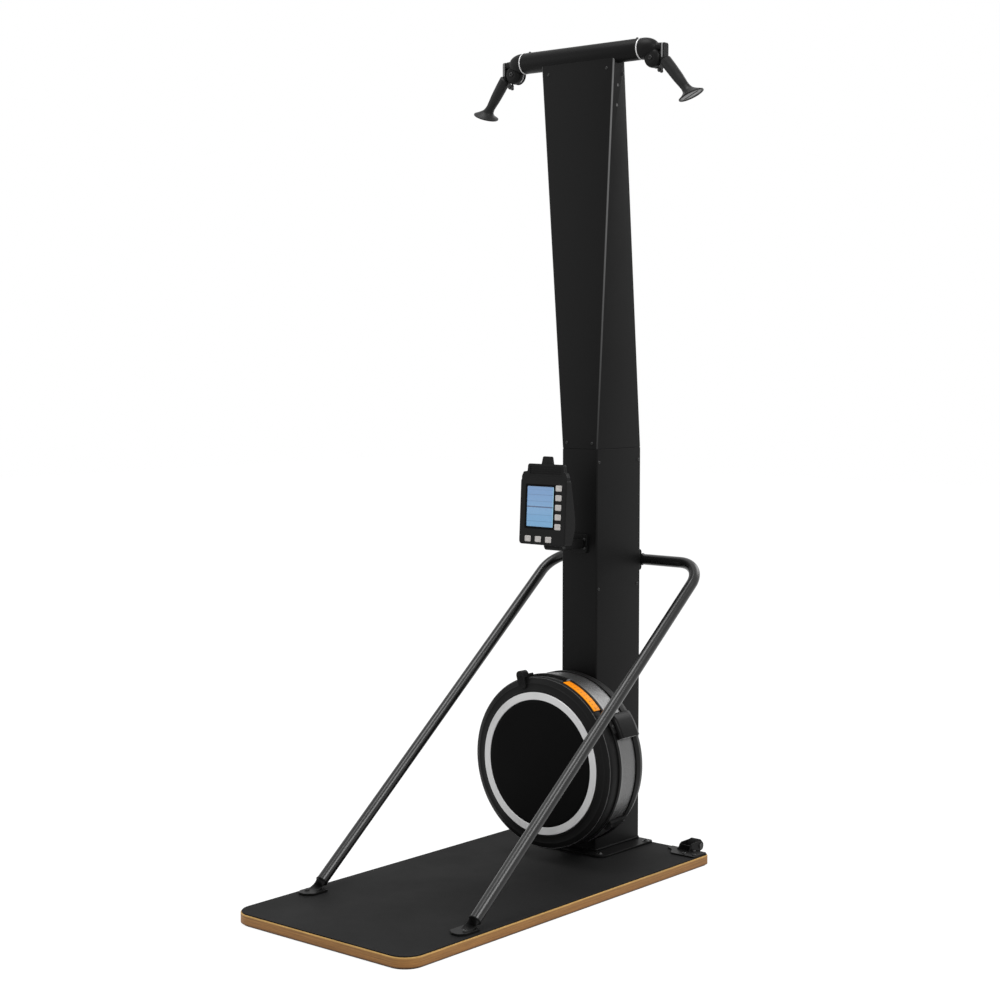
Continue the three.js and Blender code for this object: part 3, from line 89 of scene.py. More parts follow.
def sums(tree, operation, *values):
    return add(tree, "Math", dict(enumerate(values)), operation=operation)


def unseenMask(tree):  # one for camera, mirror and glass rays
    path = tree.nodes.new("ShaderNodeLightPath").outputs
    first = sums(tree, "MAXIMUM", path["Is Camera Ray"], path["Is Glossy Ray"])
    return sums(tree, "MAXIMUM", first, path["Is Transmission Ray"])


def makeCamera():
    camera = bpy.data.objects.new("camera", bpy.data.cameras.new("camera"))
    camera.location = view["place"]
    camera.rotation_euler = (math.radians(view["tilt"]), 0, math.radians(view["turn"]))
    camera.data.lens = view["lens"]
    camera.data.sensor_width = view["sensor"]
    camera.data.clip_end = view["far"]
    scene.collection.objects.link(camera)
    scene.camera = camera


def makeLamps():
    for name, (place, size, power) in studio["lamps"].items():
        lamp = bpy.data.objects.new(name, bpy.data.lights.new(name, "AREA"))
        lamp.data.shape = "SQUARE"
        lamp.data.size = size
        lamp.data.energy = power
        lamp.location = place
        way = Vector(studio["target"]) - Vector(place)
        lamp.rotation_euler = way.to_track_quat("-Z", "Y").to_euler()
        scene.collection.objects.link(lamp)


def makeFloor():
    half = studio["floorSize"] / 2
    corners = [(-half, -half, 0), (half, -half, 0), (half, half, 0), (-half, half, 0)]
    data = bpy.data.meshes.new("floor")
    data.from_pydata(corners, [], [(0, 1, 2, 3)])
    floor = bpy.data.objects.new("floor", data)
    scene.collection.objects.link(floor)
    material = bpy.data.materials.new("floorFinish")
    material.use_nodes = True
    tree = material.node_tree
    tree.nodes.clear()
    plain = add(tree, "BsdfDiffuse", {"Color": studio["floorColour"]})
    shaded = add(tree, "BsdfDiffuse", {"Color": studio["floorShade"]})
    glow = add(tree, "Emission", {"Strength": studio["floorGlow"]})
    seen = add(tree, "AddShader", {0: shaded, 1: glow})
    add(tree, "OutputMaterial", {0: add(tree, "MixShader", {0: unseenMask(tree), 1: plain, 2: seen})})
    data.materials.append(material)


def makeSky():
    world = bpy.data.worlds.new("sky")
    scene.world = world
    world.use_nodes = True
    tree = world.node_tree
    tree.nodes.clear()
    light, white = [add(tree, "Background", {"Color": (1, 1, 1, 1), "Strength": glow})
                    for glow in (studio["skyGlow"], 1.0)]
    add(tree, "OutputWorld", {0: add(tree, "MixShader", {0: unseenMask(tree), 1: light, 2: white})})


makeCamera()
makeLamps()
makeFloor()
makeSky()
scene.view_settings.view_transform = "Standard"
print("camera, light and floor made")


# Shader pieces that the finishes share
def tone(value):  # one number is a grey
    return (value, value, value, 1.0) if isinstance(value, float) else (*value, 1.0)


def place(tree):
    return add(tree, "TexCoord", out="Object")


def split(tree, vector):
    node = tree.nodes.new("ShaderNodeSeparateXYZ")
    feed(tree, node, {0: vector})
    return node.outputs


def mixed(tree, share, first, second, **settings):
    return add(tree, "Mix", {0: share, 6: first, 7: second}, 2, data_type="RGBA", **settings)


def ranged(tree, value, low=0.0, high=1.0, to=(0.0, 1.0)):
    return add(tree, "MapRange", {0: value, 1: low, 2: high, 3: to[0], 4: to[1]})  # value, from, from, to, to


def bumped(tree, height, strength, distance=0.0004):
    return add(tree, "Bump", {"Strength": strength, "Distance": distance, "Height": height})


def ramped(tree, value, stops, interpolation="LINEAR"):
    node = tree.nodes.new("ShaderNodeValToRGB")
    node.color_ramp.interpolation = interpolation
    while len(node.color_ramp.elements) < len(stops):
        node.color_ramp.elements.new(0.5)
    for element, (position, colour) in zip(node.color_ramp.elements, stops):
        element.position = position
        element.color = tone(colour)
    feed(tree, node, {0: value})
    return node.outputs[0]


def shaderGroup(name, inputs, outputs):  # a socket's kind follows the count of its numbers
    tree = bpy.data.node_groups.new(name, "ShaderNodeTree")
    kinds = {1: "NodeSocketFloat", 3: "NodeSocketVector", 4: "NodeSocketColor"}
    for label, value in inputs.items():
        kind = kinds[1 if isinstance(value, float) else len(value)]
        tree.interface.new_socket(name=label, in_out="INPUT", socket_type=kind).default_value = value
    for label, count in outputs.items():
        tree.interface.new_socket(name=label, in_out="OUTPUT", socket_type=kinds[count])
    return tree, tree.nodes.new("NodeGroupInput").outputs, tree.nodes.new("NodeGroupOutput")


def makeDriftGroup():  # slow change between two colours, with a finer mottle on top
    tree, given, result = shaderGroup(
        "colourDrift", {"First": tone(0.02), "Second": tone(0.03), "Scale": 6.0}, {"Colour": 4, "Value": 1})
    grain = {"Scale": given["Scale"], "Detail": 4.0, "Roughness": 0.6}
    noise = add(tree, "TexNoise", {"Vector": place(tree), **grain})
    spread = ranged(tree, noise, 0.3, 0.7)
    feed(tree, result, {"Colour": mixed(tree, spread, given["First"], given["Second"]), "Value": spread})
    return tree


def makeGrainGroup():  # fine bumps: orange peel, moulded grain or pebbled rubber
    tree, given, result = shaderGroup("fineGrain", {"Scale": 900.0, "Pebble": 0.0}, {"Height": 1})
    shared = {"Vector": place(tree), "Scale": given["Scale"]}
    noise = add(tree, "TexNoise", {**shared, "Detail": 2.0, "Roughness": 0.5})
    cells = add(tree, "TexVoronoi", shared, feature="SMOOTH_F1")
    height = add(tree, "Mix", {0: given["Pebble"], 2: noise, 3: cells}, data_type="FLOAT")
    feed(tree, result, {"Height": height})
    return tree


def makeWearGroup():  # edges that handling has rubbed: the eased normal leaves the true one there
    tree, given, result = shaderGroup("edgeWear", {"Radius": 0.0015, "Amount": 0.5}, {"Mask": 1})
    eased = add(tree, "Bevel", {"Radius": given["Radius"]}, samples=4)
    true = add(tree, "NewGeometry", out="Normal")
    same = add(tree, "VectorMath", {0: eased, 1: true}, "Value", operation="DOT_PRODUCT")
    noise = add(tree, "TexNoise", {"Vector": place(tree), "Scale": 60.0, "Detail": 3.0})
    both = sums(tree, "MULTIPLY", ranged(tree, same, 0.99, 0.8), ranged(tree, noise, 0.35, 0.65))
    feed(tree, result, {"Mask": sums(tree, "MULTIPLY", both, given["Amount"])})
    return tree


def makeStreakGroup():  # wood fibres, drawn out along one direction
    tree, given, result = shaderGroup("streaks", {"Stretch": (4.0, 4.0, 400.0), "Contrast": 1.0},
                                      {"Value": 1})
    pulled = add(tree, "VectorMath", {0: place(tree), 1: given["Stretch"]}, operation="MULTIPLY")
    noise = add(tree, "TexNoise", {"Vector": pulled, "Scale": 1.0, "Detail": 4.0, "Roughness": 0.65})
    centred = sums(tree, "SUBTRACT", noise, 0.5)
    feed(tree, result, {"Value": sums(tree, "MULTIPLY_ADD", centred, given["Contrast"], 0.5)})
    return tree


groups = {
    "drift": makeDriftGroup(), "grain": makeGrainGroup(), "wear": makeWearGroup(),
    "streaks": makeStreakGroup(),
}


def useGroup(tree, key, **feeds):
    node = tree.nodes.new("ShaderNodeGroup")
    node.node_tree = groups[key]
    feed(tree, node, feeds)
    return node.outputs


# One dictionary per finish. Lengths here are metres; drift and grain count per metre.
coatBase = dict(metallic=0.0, grain=1500.0, pebble=0.0, wear=0.3, wearRadius=0.001, mirror=0.4)
paint = dict(drift=3.0, grain=1100.0, worn=0.05, wear=0.35, wearRadius=0.0012)
coats = {
    "blackPaint": dict(paint, first=0.0048, second=0.0070, roughness=(0.36, 0.48), bump=0.05, mirror=0.07),
    "blackPlastic": dict(first=0.0050, second=0.0078, drift=5.0, roughness=(0.38, 0.52), pebble=0.5,
                         bump=0.04,
                         worn=0.04, wear=0.25, mirror=0.09),
    "tubePaint": dict(paint, first=0.0050, second=0.0075, roughness=(0.24, 0.3), bump=0.005),
    "glossPlastic": dict(first=0.0034, second=0.0052, drift=6.0, roughness=(0.3, 0.4), pebble=0.3, bump=0.03,
                         worn=0.04, wear=0.2, mirror=0.07),
    "sheaveNylon": dict(first=0.50, second=0.60, drift=20.0, roughness=(0.4, 0.5), pebble=0.2, bump=0.03,
                        worn=0.5, wearRadius=0.0006),
    "discPlastic": dict(first=0.0024, second=0.0036, drift=4.0, roughness=(0.5, 0.62), pebble=0.6, bump=0.04,
                        worn=0.02, wear=0.2, mirror=0.035),
    "gripRubber": dict(first=0.0075, second=0.0130, drift=40.0, roughness=(0.4, 0.52), grain=1300.0,
                       pebble=1.0,
                       bump=0.12, worn=0.04, mirror=0.16),
    "matRubber": dict(first=0.0070, second=0.0100, drift=2.5, roughness=(0.62, 0.8), grain=520.0, pebble=1.0,
                      bump=0.25, worn=0.04, wear=0.2, mirror=0.08),
    "solidRubber": dict(first=0.0050, second=0.0080, drift=12.0, roughness=(0.6, 0.78), grain=700.0,
                        pebble=0.7,
                        bump=0.15, worn=0.03, mirror=0.1),
    "boltBlack": dict(first=0.0160, second=0.0260, drift=90.0, roughness=(0.26, 0.4), metallic=0.6,
                      grain=1800.0,
                      bump=0.04, worn=0.16, wear=0.6, wearRadius=0.0006, mirror=0.45),
    "brightRing": dict(first=0.58, second=0.66, drift=7.0, roughness=(0.34, 0.46), metallic=0.35,
                       grain=1600.0,
                       bump=0.03, worn=0.7, wearRadius=0.0008),
    "steel": dict(first=0.30, second=0.40, drift=25.0, roughness=(0.26, 0.42), metallic=1.0, grain=2000.0,
                  bump=0.04, worn=0.6, wear=0.4, wearRadius=0.0006),
    "washerGrey": dict(first=0.16, second=0.2, drift=30.0, roughness=(0.35, 0.5), metallic=0.3, bump=0.03,
                       worn=0.35, wearRadius=0.0006),
    "faceGrey": dict(first=0.10, second=0.14, drift=30.0, roughness=(0.3, 0.45), metallic=0.3, pebble=0.2,
                     bump=0.05, worn=0.45, wearRadius=0.0008),
    "keyRubber": dict(first=(0.42, 0.40, 0.385), second=(0.52, 0.50, 0.48), drift=90.0, roughness=(0.5, 0.65),
                      pebble=0.5, bump=0.06, worn=(0.68, 0.64, 0.6), wear=0.4, wearRadius=0.0008),
    "orangeFilm": dict(first=(0.86, 0.24, 0.003), second=(0.93, 0.33, 0.005), drift=14.0,
                       roughness=(0.35, 0.5),
                       bump=0.02, worn=(0.95, 0.5, 0.06), wearRadius=0.0005, mirror=0.12),
    "inkBlack": dict(first=0.02, second=0.03, drift=60.0, roughness=(0.5, 0.6), bump=0.02, worn=0.05,
                     wear=0.1,
                     wearRadius=0.0003),
}
# The fold setting paints a highlight into the colour along the mast's upright folds
coats["foldPaint"] = dict(coats["blackPaint"], fold=0.15)


def shaderOf(name):
    material = bpy.data.materials.new(name)
    material.use_nodes = True
    return material, material.node_tree, material.node_tree.nodes["Principled BSDF"]


def paintedFoldHighlight(tree, under, light):  # painted highlight along the upright folds, fading downwards
    normal = split(tree, add(tree, "NewGeometry", out="Normal"))
    slant = sums(tree, "ABSOLUTE", sums(tree, "MULTIPLY", normal["X"], normal["Y"]))
    height = ranged(tree, split(tree, place(tree))["Z"], 1.1, 2.1, (0.15, 1.0))
    return mixed(tree, sums(tree, "MULTIPLY", ranged(tree, slant, 0.2, 0.45), height), under, light)


def makeCoat(name):
    coat = {**coatBase, **coats[name]}
    material, tree, shader = shaderOf(name)
    drift = useGroup(tree, "drift", First=tone(coat["first"]), Second=tone(coat["second"]),
                     Scale=coat["drift"])
    wear = useGroup(tree, "wear", Radius=coat["wearRadius"], Amount=coat["wear"])["Mask"]
    grain = useGroup(tree, "grain", Scale=coat["grain"], Pebble=coat["pebble"])["Height"]
    colour = mixed(tree, wear, drift["Colour"], tone(coat["worn"]))
    feed(tree, shader, {
        # a fold setting mixes a painted highlight into the colour along upright folds
        "Base Color": paintedFoldHighlight(tree, colour, tone(coat["fold"])) if "fold" in coat else colour,
        "Roughness": ranged(tree, drift["Value"], to=coat["roughness"]),
        "Normal": bumped(tree, grain, coat["bump"]),
        "Metallic": coat["metallic"], "Specular IOR Level": coat["mirror"],
    })
    return material


wood = {
    "heights": (0.004, 0.029), "roughness": (0.42, 0.6), "bump": 0.12, "mirror": 0.25,
    "worn": (0.62, 0.43, 0.22),
    # the first stops paint shade: a dark band along the bottom of the deck's edge
    "pliesAndBottomShade": [(0.0, (0.08, 0.034, 0.009)), (0.09, (0.16, 0.070, 0.018)), (0.16, (0.235, 0.108, 0.030)),
              (0.45, (0.275, 0.132, 0.037)), (0.52, (0.22, 0.102, 0.028)), (0.58, (0.285, 0.14, 0.04)),
              (0.86, (0.25, 0.12, 0.034)), (0.90, (0.46, 0.265, 0.078)), (1.0, (0.50, 0.30, 0.095))],
    "fibres": dict(Stretch=(9.0, 9.0, 900.0), Contrast=1.4), "fibreShare": 0.6,
    "pores": dict(Stretch=(60.0, 60.0, 2600.0), Contrast=1.6), "poreShare": 0.5,
    "wear": dict(Radius=0.0015, Amount=0.5),
}


def makeWood():  # pressed ply edge: a pale face ply on top, streaked core, and a dark band at the bottom that is painted shade
    material, tree, shader = shaderOf("plyWood")
    pliesAndBottomShade = ramped(tree, ranged(tree, split(tree, place(tree))["Z"], *wood["heights"]), wood["pliesAndBottomShade"])
    fibres = useGroup(tree, "streaks", **wood["fibres"])["Value"]
    pores = useGroup(tree, "streaks", **wood["pores"])["Value"]
    shade = mixed(tree, wood["fibreShare"], pliesAndBottomShade, fibres, blend_type="OVERLAY")
    fine = mixed(tree, wood["poreShare"], shade, pores, blend_type="SOFT_LIGHT")
    wear = useGroup(tree, "wear", **wood["wear"])["Mask"]
    feed(tree, shader, {
        "Base Color": mixed(tree, wear, fine, tone(wood["worn"])),
        "Roughness": ranged(tree, pores, to=wood["roughness"]),
        "Normal": bumped(tree, pores, wood["bump"]), "Specular IOR Level": wood["mirror"],
    })
    return material


axleZ = 300.5  # the flywheel's axle; its cage is a rolled sheet in two steps
cageRadius, cageFrontY, cageRearY = 236.0, 260.5, 337.5
sheet = {
    "holesRound": 560, "rowPitch": 0.0023, "holeRadius": 0.8, "plainRim": 4.0, "first": 0.19, "second": 0.23,
    "drift": 6.0, "grain": 1800.0, "roughness": (0.4, 0.48), "bump": 0.02, "bumpDepth": 0.0002,
}


def makeSheetMetal():  # perforated rolled sheet: staggered round holes let the fan show through
    material, tree, shader = shaderOf("perforatedSheet")
    x, y, z = split(tree, place(tree))

    def calc(operation, *values):
        return sums(tree, operation, *values)

    clock = calc("ARCTAN2", calc("SUBTRACT", z, axleZ * unit), x)
    along = calc("MULTIPLY", clock, sheet["holesRound"] / (2 * math.pi))
    across = calc("MULTIPLY", y, 1 / sheet["rowPitch"])
    stagger = calc("MULTIPLY", calc("MODULO", calc("ADD", calc("FLOOR", across), 1000.0), 2.0), 0.5)
    cellAcross = calc("SUBTRACT", calc("FRACT", across), 0.5)
    cellAlong = calc("SUBTRACT", calc("FRACT", calc("ADD", calc("ADD", along, 1000.0), stagger)), 0.5)
    pitch = 2 * math.pi * cageRadius / sheet["holesRound"]
    wide = calc("MULTIPLY", cellAlong, pitch)
    deep = calc("POWER", calc("MULTIPLY", cellAcross, sheet["rowPitch"] / unit), 2.0)
    solid = calc("GREATER_THAN", calc("MULTIPLY_ADD", wide, wide, deep), sheet["holeRadius"] ** 2)
    nearStep = calc("ABSOLUTE", calc("SUBTRACT", y, cageFrontY * unit))
    step = calc("LESS_THAN", nearStep, sheet["plainRim"] * unit)
    rear = calc("GREATER_THAN", y, (cageRearY - sheet["plainRim"]) * unit)
    first, second = tone(sheet["first"]), tone(sheet["second"])
    drift = useGroup(tree, "drift", First=first, Second=second, Scale=sheet["drift"])
    grain = useGroup(tree, "grain", Scale=sheet["grain"], Pebble=0.0)["Height"]
    feed(tree, shader, {
        "Base Color": drift["Colour"], "Roughness": ranged(tree, drift["Value"], to=sheet["roughness"]),
        "Normal": bumped(tree, grain, sheet["bump"], sheet["bumpDepth"]), "Metallic": 1.0,
        "Alpha": calc("MAXIMUM", calc("MAXIMUM", solid, step), rear),
    })
    return material


def makeBraid():  # woven cord cover: two diagonal sets of strands
    material, tree, shader = shaderOf("braidedCover")
    waves = []
    for sign in (1.0, -1.0):
        lean = add(tree, "VectorMath", {0: place(tree), 1: (1.0, 1.0, sign)}, "Value",
                   operation="DOT_PRODUCT")
        waves.append(sums(tree, "SINE", sums(tree, "MULTIPLY", lean, 3400.0)))
    lift = ranged(tree, sums(tree, "MULTIPLY", *waves), -1.0, 1.0)
    feed(tree, shader, {
        "Base Color": mixed(tree, lift, tone(0.006), tone(0.045)), "Normal": bumped(tree, lift, 0.5, 0.0005),
        "Roughness": 0.75, "Sheen Weight": 0.3,
    })
    return material


panel = {
    "ground": [(0.0, (0.125, 0.30, 0.50)), (1.0, (0.10, 0.225, 0.43))], "ink": (0.015, 0.05, 0.13),
    "marks": [(0.0, 0.0), (0.13, 0.4), (0.145, 0.0), (0.29, 0.35), (0.305, 0.0), (0.475, 1.0), (0.505, 0.0),
              (0.62, 0.4), (0.635, 0.0), (0.78, 0.5), (0.795, 0.0), (0.9, 0.3), (0.912, 0.0)],
    "cells": {"Scale": 14.0, "Mortar Size": 0.03, "Color1": tone(0.0), "Color2": tone(0.12),
              "Mortar": tone(0.3)},
    "faint": 0.6, "edge": (0.955, 0.985), "edgeColour": (0.30, 0.62, 0.74),
}


def makeDisplay():  # liquid crystal panel: blue ground, faint lines across, glossy window, and a painted glow from a faint emission, though the panel is unlit
    material, tree, shader = shaderOf("displayGlass")
    spot = add(tree, "UVMap", uv_map="face")
    across, up, _ = split(tree, spot)
    ground = ramped(tree, up, panel["ground"], "EASE")
    lines = ramped(tree, up, panel["marks"], "CONSTANT")
    cells = add(tree, "TexBrick", {"Vector": spot, **panel["cells"]})
    mask = sums(tree, "MAXIMUM", lines, sums(tree, "MULTIPLY", cells, panel["faint"]))
    colour = mixed(tree, mask, ground, tone(panel["ink"]))
    edged = mixed(tree, ranged(tree, across, *panel["edge"]), colour, tone(panel["edgeColour"]))
    # painted glow: the unlit panel emits a little of its own colour
    feed(tree, shader, {"Base Color": edged, "Emission Color": edged, "Emission Strength": 0.25,
                        "Roughness": 0.25, "Coat Weight": 0.5})
    return material


finishes = {name: makeCoat(name) for name in coats}
finishes["plyWood"] = makeWood()
finishes["perforatedSheet"] = makeSheetMetal()
finishes["braidedCover"] = makeBraid()
finishes["displayGlass"] = makeDisplay()
print("finishes made")


# Shapes are (corners, faces)
def joined(*shapes):
    points, faces = [], []
    for corners, loops in shapes:
        shift = len(points)
        points += corners
        faces += [tuple(i + shift for i in loop) for loop in loops]
    return points, faces


def mirrored(shape):
    return [(-x, y, z) for x, y, z in shape[0]], [tuple(reversed(loop)) for loop in shape[1]]


def placed(shape, matrix):
    return [tuple(matrix @ Vector(corner)) for corner in shape[0]], shape[1]


def corner(axis, first, second, along):  # the other two axes in alphabetical order
    return {"x": (along, first, second), "y": (first, along, second), "z": (first, second, along)}[axis]


def rounded(line, radii, steps=6):
    if not hasattr(radii, "__len__"):
        radii = [radii] * len(line)
    eased = []
    for i, radius in enumerate(radii):
        here = Vector(line[i])
        before = (Vector(line[i - 1]) - here).normalized()
        after = (Vector(line[(i + 1) % len(line)]) - here).normalized()
        half = before.angle(after) / 2
        if radius <= 0 or half > math.pi / 2 - 0.01:
            eased.append(tuple(here))
            continue
        middle = here + (before + after).normalized() * (radius / math.sin(half))
        first = here + before * (radius / math.tan(half)) - middle
        last = here + after * (radius / math.tan(half)) - middle
        start = math.atan2(first.y, first.x)
        turn = (math.atan2(last.y, last.x) - start + math.pi) % (2 * math.pi) - math.pi
        for step in range(steps + 1):
            angle = start + turn * step / steps
            eased.append((middle.x + radius * math.cos(angle), middle.y + radius * math.sin(angle)))
    return eased


def rectangle(firstLow, firstHigh, secondLow, secondHigh):
    return [(firstLow, secondLow), (firstHigh, secondLow), (firstHigh, secondHigh), (firstLow, secondHigh)]


def circle(centre, radius, sides):
    turns = [2 * math.pi * i / sides for i in range(sides)]
    return [(centre[0] + radius * math.cos(t), centre[1] + radius * math.sin(t)) for t in turns]


def lofted(rings, closed=False):
    count = len(rings[0])
    points = [tuple(point) for ring in rings for point in ring]
    faces = []
    for row in range(len(rings) if closed else len(rings) - 1):
        a, b = row * count, (row + 1) % len(rings) * count
        faces += [(a + i, a + (i + 1) % count, b + (i + 1) % count, b + i) for i in range(count)]
    if not closed:
        last = (len(rings) - 1) * count
        faces += [tuple(range(count)), tuple(range(last, last + count))]
    return points, faces


def prism(line, axis, start, end):
    return lofted([[corner(axis, a, b, along) for a, b in line] for along in (start, end)])


def slab(bounds, axis, start, end, radii=None, steps=6):
    line = rectangle(*bounds)
    return prism(line if radii is None else rounded(line, radii, steps), axis, start, end)


def turned(profile, axis, centre, sides=96, closed=False):
    points, rows, faces = [], [], []
    for radius, along in profile:
        if radius == 0:
            rows.append([len(points)] * sides)
            points.append(corner(axis, centre[0], centre[1], along))
        else:
            rows.append([len(points) + i for i in range(sides)])
            points += [corner(axis, a, b, along) for a, b in circle(centre, radius, sides)]
    for a, b in zip(rows, rows[1:] + (rows[:1] if closed else [])):
        for i in range(sides):
            j = (i + 1) % sides
            face = tuple(dict.fromkeys((a[i], a[j], b[j], b[i])))
            if len(face) > 2:
                faces.append(face)
    if not closed:
        faces += [tuple(row) for row in (rows[0], rows[-1]) if row[0] != row[-1]]
    return points, faces


def swept(route, radius, sides=24, closed=False):
    path = [Vector(point) for point in route]
    count = len(path)
    rings = []
    side = None
    for i, point in enumerate(path):
        if closed:
            way = (path[(i + 1) % count] - path[i - 1]).normalized()
        else:
            way = (path[min(i + 1, count - 1)] - path[max(i - 1, 0)]).normalized()
        side = side or way.orthogonal().normalized()
        side = (side - way * side.dot(way)).normalized()
        other = way.cross(side)
        turns = [2 * math.pi * k / sides for k in range(sides)]
        rings.append([tuple(point + (side * math.cos(t) + other * math.sin(t)) * radius) for t in turns])
    return lofted(rings, closed)


def bentRoute(corners, radius, steps):
    line = [Vector(corners[0])]
    for i in range(1, len(corners) - 1):
        here = Vector(corners[i])
        before = (Vector(corners[i - 1]) - here).normalized()
        after = (Vector(corners[i + 1]) - here).normalized()
        half = before.angle(after) / 2
        reach = radius / math.tan(half)
        middle = here + (before + after).normalized() * (radius / math.sin(half))
        first = here + before * reach - middle
        axis = first.cross(here + after * reach - middle).normalized()
        for step in range(steps + 1):
            line.append(middle + Matrix.Rotation((math.pi - 2 * half) * step / steps, 3, axis) @ first)
    line.append(Vector(corners[-1]))
    return line


def arcLoft(profile, start, end, steps):  # profile of (radius, y) carried round the axle, in degrees
    rings = []
    for step in range(steps + 1):
        angle = math.radians(start + (end - start) * step / steps)
        rings.append([(r * math.cos(angle), y, axleZ + r * math.sin(angle)) for r, y in profile])
    return lofted(rings)


upward, forward, rearward, outward = (0, 0, 1), (0, -1, 0), (0, 1, 0), (1, 0, 0)


def facing(spot, way):  # its own +Z points along way
    return Matrix.Translation(spot) @ Vector(way).to_track_quat("Z", "Y").to_matrix().to_4x4()


bolt = {"sides": 24, "sink": -1.0, "crown": (0.0, 0.35, 0.7, 1.0, 1.2), "key": 0.42, "keyDepth": (0.95, 0.35)}


def domedBolt(spot, way, radius, height):  # button head with a hex recess
    sides, key = bolt["sides"], radius * bolt["key"]
    arc = [(radius * math.cos(a), height * (0.25 + 0.75 * math.sin(a))) for a in bolt["crown"]]
    points, faces = turned([(radius, bolt["sink"])] + arc + [(key, height * 0.97)], "z", (0, 0), sides)
    faces.pop()  # open the top for the recess
    rows = [len(points) - sides]
    sixSided = []
    for x, y in circle((0, 0), key, sides):
        angle = math.atan2(y, x) % (math.pi / 3) - math.pi / 6
        size = key * 0.86 / math.cos(angle) * 0.92
        sixSided.append((x / key * size, y / key * size))
    for depth in bolt["keyDepth"]:
        rows.append(len(points))
        points += [(x, y, height * depth) for x, y in sixSided]
    for a, b in zip(rows, rows[1:]):
        faces += [(a + i, a + (i + 1) % sides, b + (i + 1) % sides, b + i) for i in range(sides)]
    faces.append(tuple(range(rows[-1], rows[-1] + sides)))
    return placed((points, faces), facing(spot, way))


def bolts(spots, way, radius, height):
    return joined(*[domedBolt(spot, way, radius, height) for spot in spots])


def meshOf(name, shape):
    data = bpy.data.meshes.new(name)
    data.from_pydata([[value * unit for value in point] for point in shape[0]], [], shape[1])
    work = bmesh.new()
    work.from_mesh(data)
    bmesh.ops.remove_doubles(work, verts=work.verts, dist=1e-7)
    bmesh.ops.recalc_face_normals(work, faces=work.faces)
    work.to_mesh(data)
    work.free()
    obj = bpy.data.objects.new(name, data)
    scene.collection.objects.link(obj)
    return obj


def piece(name, shape, coat, replaces="", body="machine", bevel=0.0, sharp=35.0, segments=2):
    obj = meshOf(name, shape)
    obj.data.shade_smooth()
    obj.data.set_sharp_from_angle(angle=math.radians(sharp))
    obj.data.materials.append(finishes[coat])
    if bevel:
        edge = obj.modifiers.new("edge", "BEVEL")
        edge.width = bevel * unit
        edge.segments = segments
        edge.limit_method = "ANGLE"
        edge.angle_limit = math.radians(35)
        edge.harden_normals = True
        edge.use_clamp_overlap = True
    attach(obj, body)
    if replaces:
        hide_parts(replaces)
    return obj


def pair(name, shape, coat, replaces="", body="machine", **rest):  # right piece and its mirror on the left
    for side, own in (("right", shape), ("left", mirrored(shape))):
        piece(f"{side}{name}", own, coat, replaces.replace("SIDE", side), body.replace("SIDE", side), **rest)


def combined(base, cuts=(), adds=()):  # one solid from several, as a shape list again
    start = meshOf("cutter", base)
    helpers = [start]
    for operation, shapes in (("UNION", adds), ("DIFFERENCE", cuts)):
        for shape in shapes:
            helpers.append(meshOf("cutter", shape))
            step = start.modifiers.new("step", "BOOLEAN")
            step.object = helpers[-1]
            step.operation = operation
            step.solver = "EXACT"
    bpy.context.view_layer.update()
    settled = start.evaluated_get(bpy.context.evaluated_depsgraph_get()).to_mesh()
    points = [tuple(v.co / unit) for v in settled.vertices]
    faces = [tuple(polygon.vertices) for polygon in settled.polygons]
    for helper in helpers:
        data = helper.data
        bpy.data.objects.remove(helper)
        bpy.data.meshes.remove(data)
    return points, faces


def rod(radius, start, end, axis, centre, sides):
    return turned([(0, start), (radius, start), (radius, end), (0, end)], axis, centre, sides)


def sleeve(bounds, radii, axis, centre, sides, steps=3):  # bounds are (inner, outer, start, end)
    return turned(rounded(rectangle(*bounds), radii, steps), axis, centre, sides, closed=True)


def arcLine(centre, radius, start, end, y, steps=12):  # arc in a plane of constant y, degrees from +X
    turns = [math.radians(start + (end - start) * i / steps) for i in range(steps + 1)]
    return [(centre[0] + radius * math.cos(t), y, centre[1] + radius * math.sin(t)) for t in turns]


# Base board: wood deck, rubber skirt under it, textured mat on top
board = {
    "front": -621.5, "rear": 585.5, "half": 295.0, "frontRadius": 55.0, "rearRadius": 18.0,
    "layers": [  # name, finish, node, inset, low, high, bevel, segments
        ("deck", "plyWood", "base_board", 0.0, 4.0, 29.0, 1.2, 3),
        ("deckSkirt", "solidRubber", "rubber_underlay", 6.0, 0.0, 4.0, 0.8, 2),
        ("deckMat", "matRubber", "anti_slip_mat", 2.5, 29.0, 32.0, 1.1, 3),
    ],
}


def makeBoard():
    for name, coat, node, inset, low, high, bevel, segments in board["layers"]:
        half, front, rear = [board[key] - inset for key in ("half", "frontRadius", "rearRadius")]
        plan = (-half, half, board["front"] + inset, board["rear"] - inset)
        layer = slab(plan, "z", low, high, [front, front, rear, rear], 14)
        piece(name, layer, coat, node, bevel=bevel, segments=segments)


makeBoard()
print("board made")

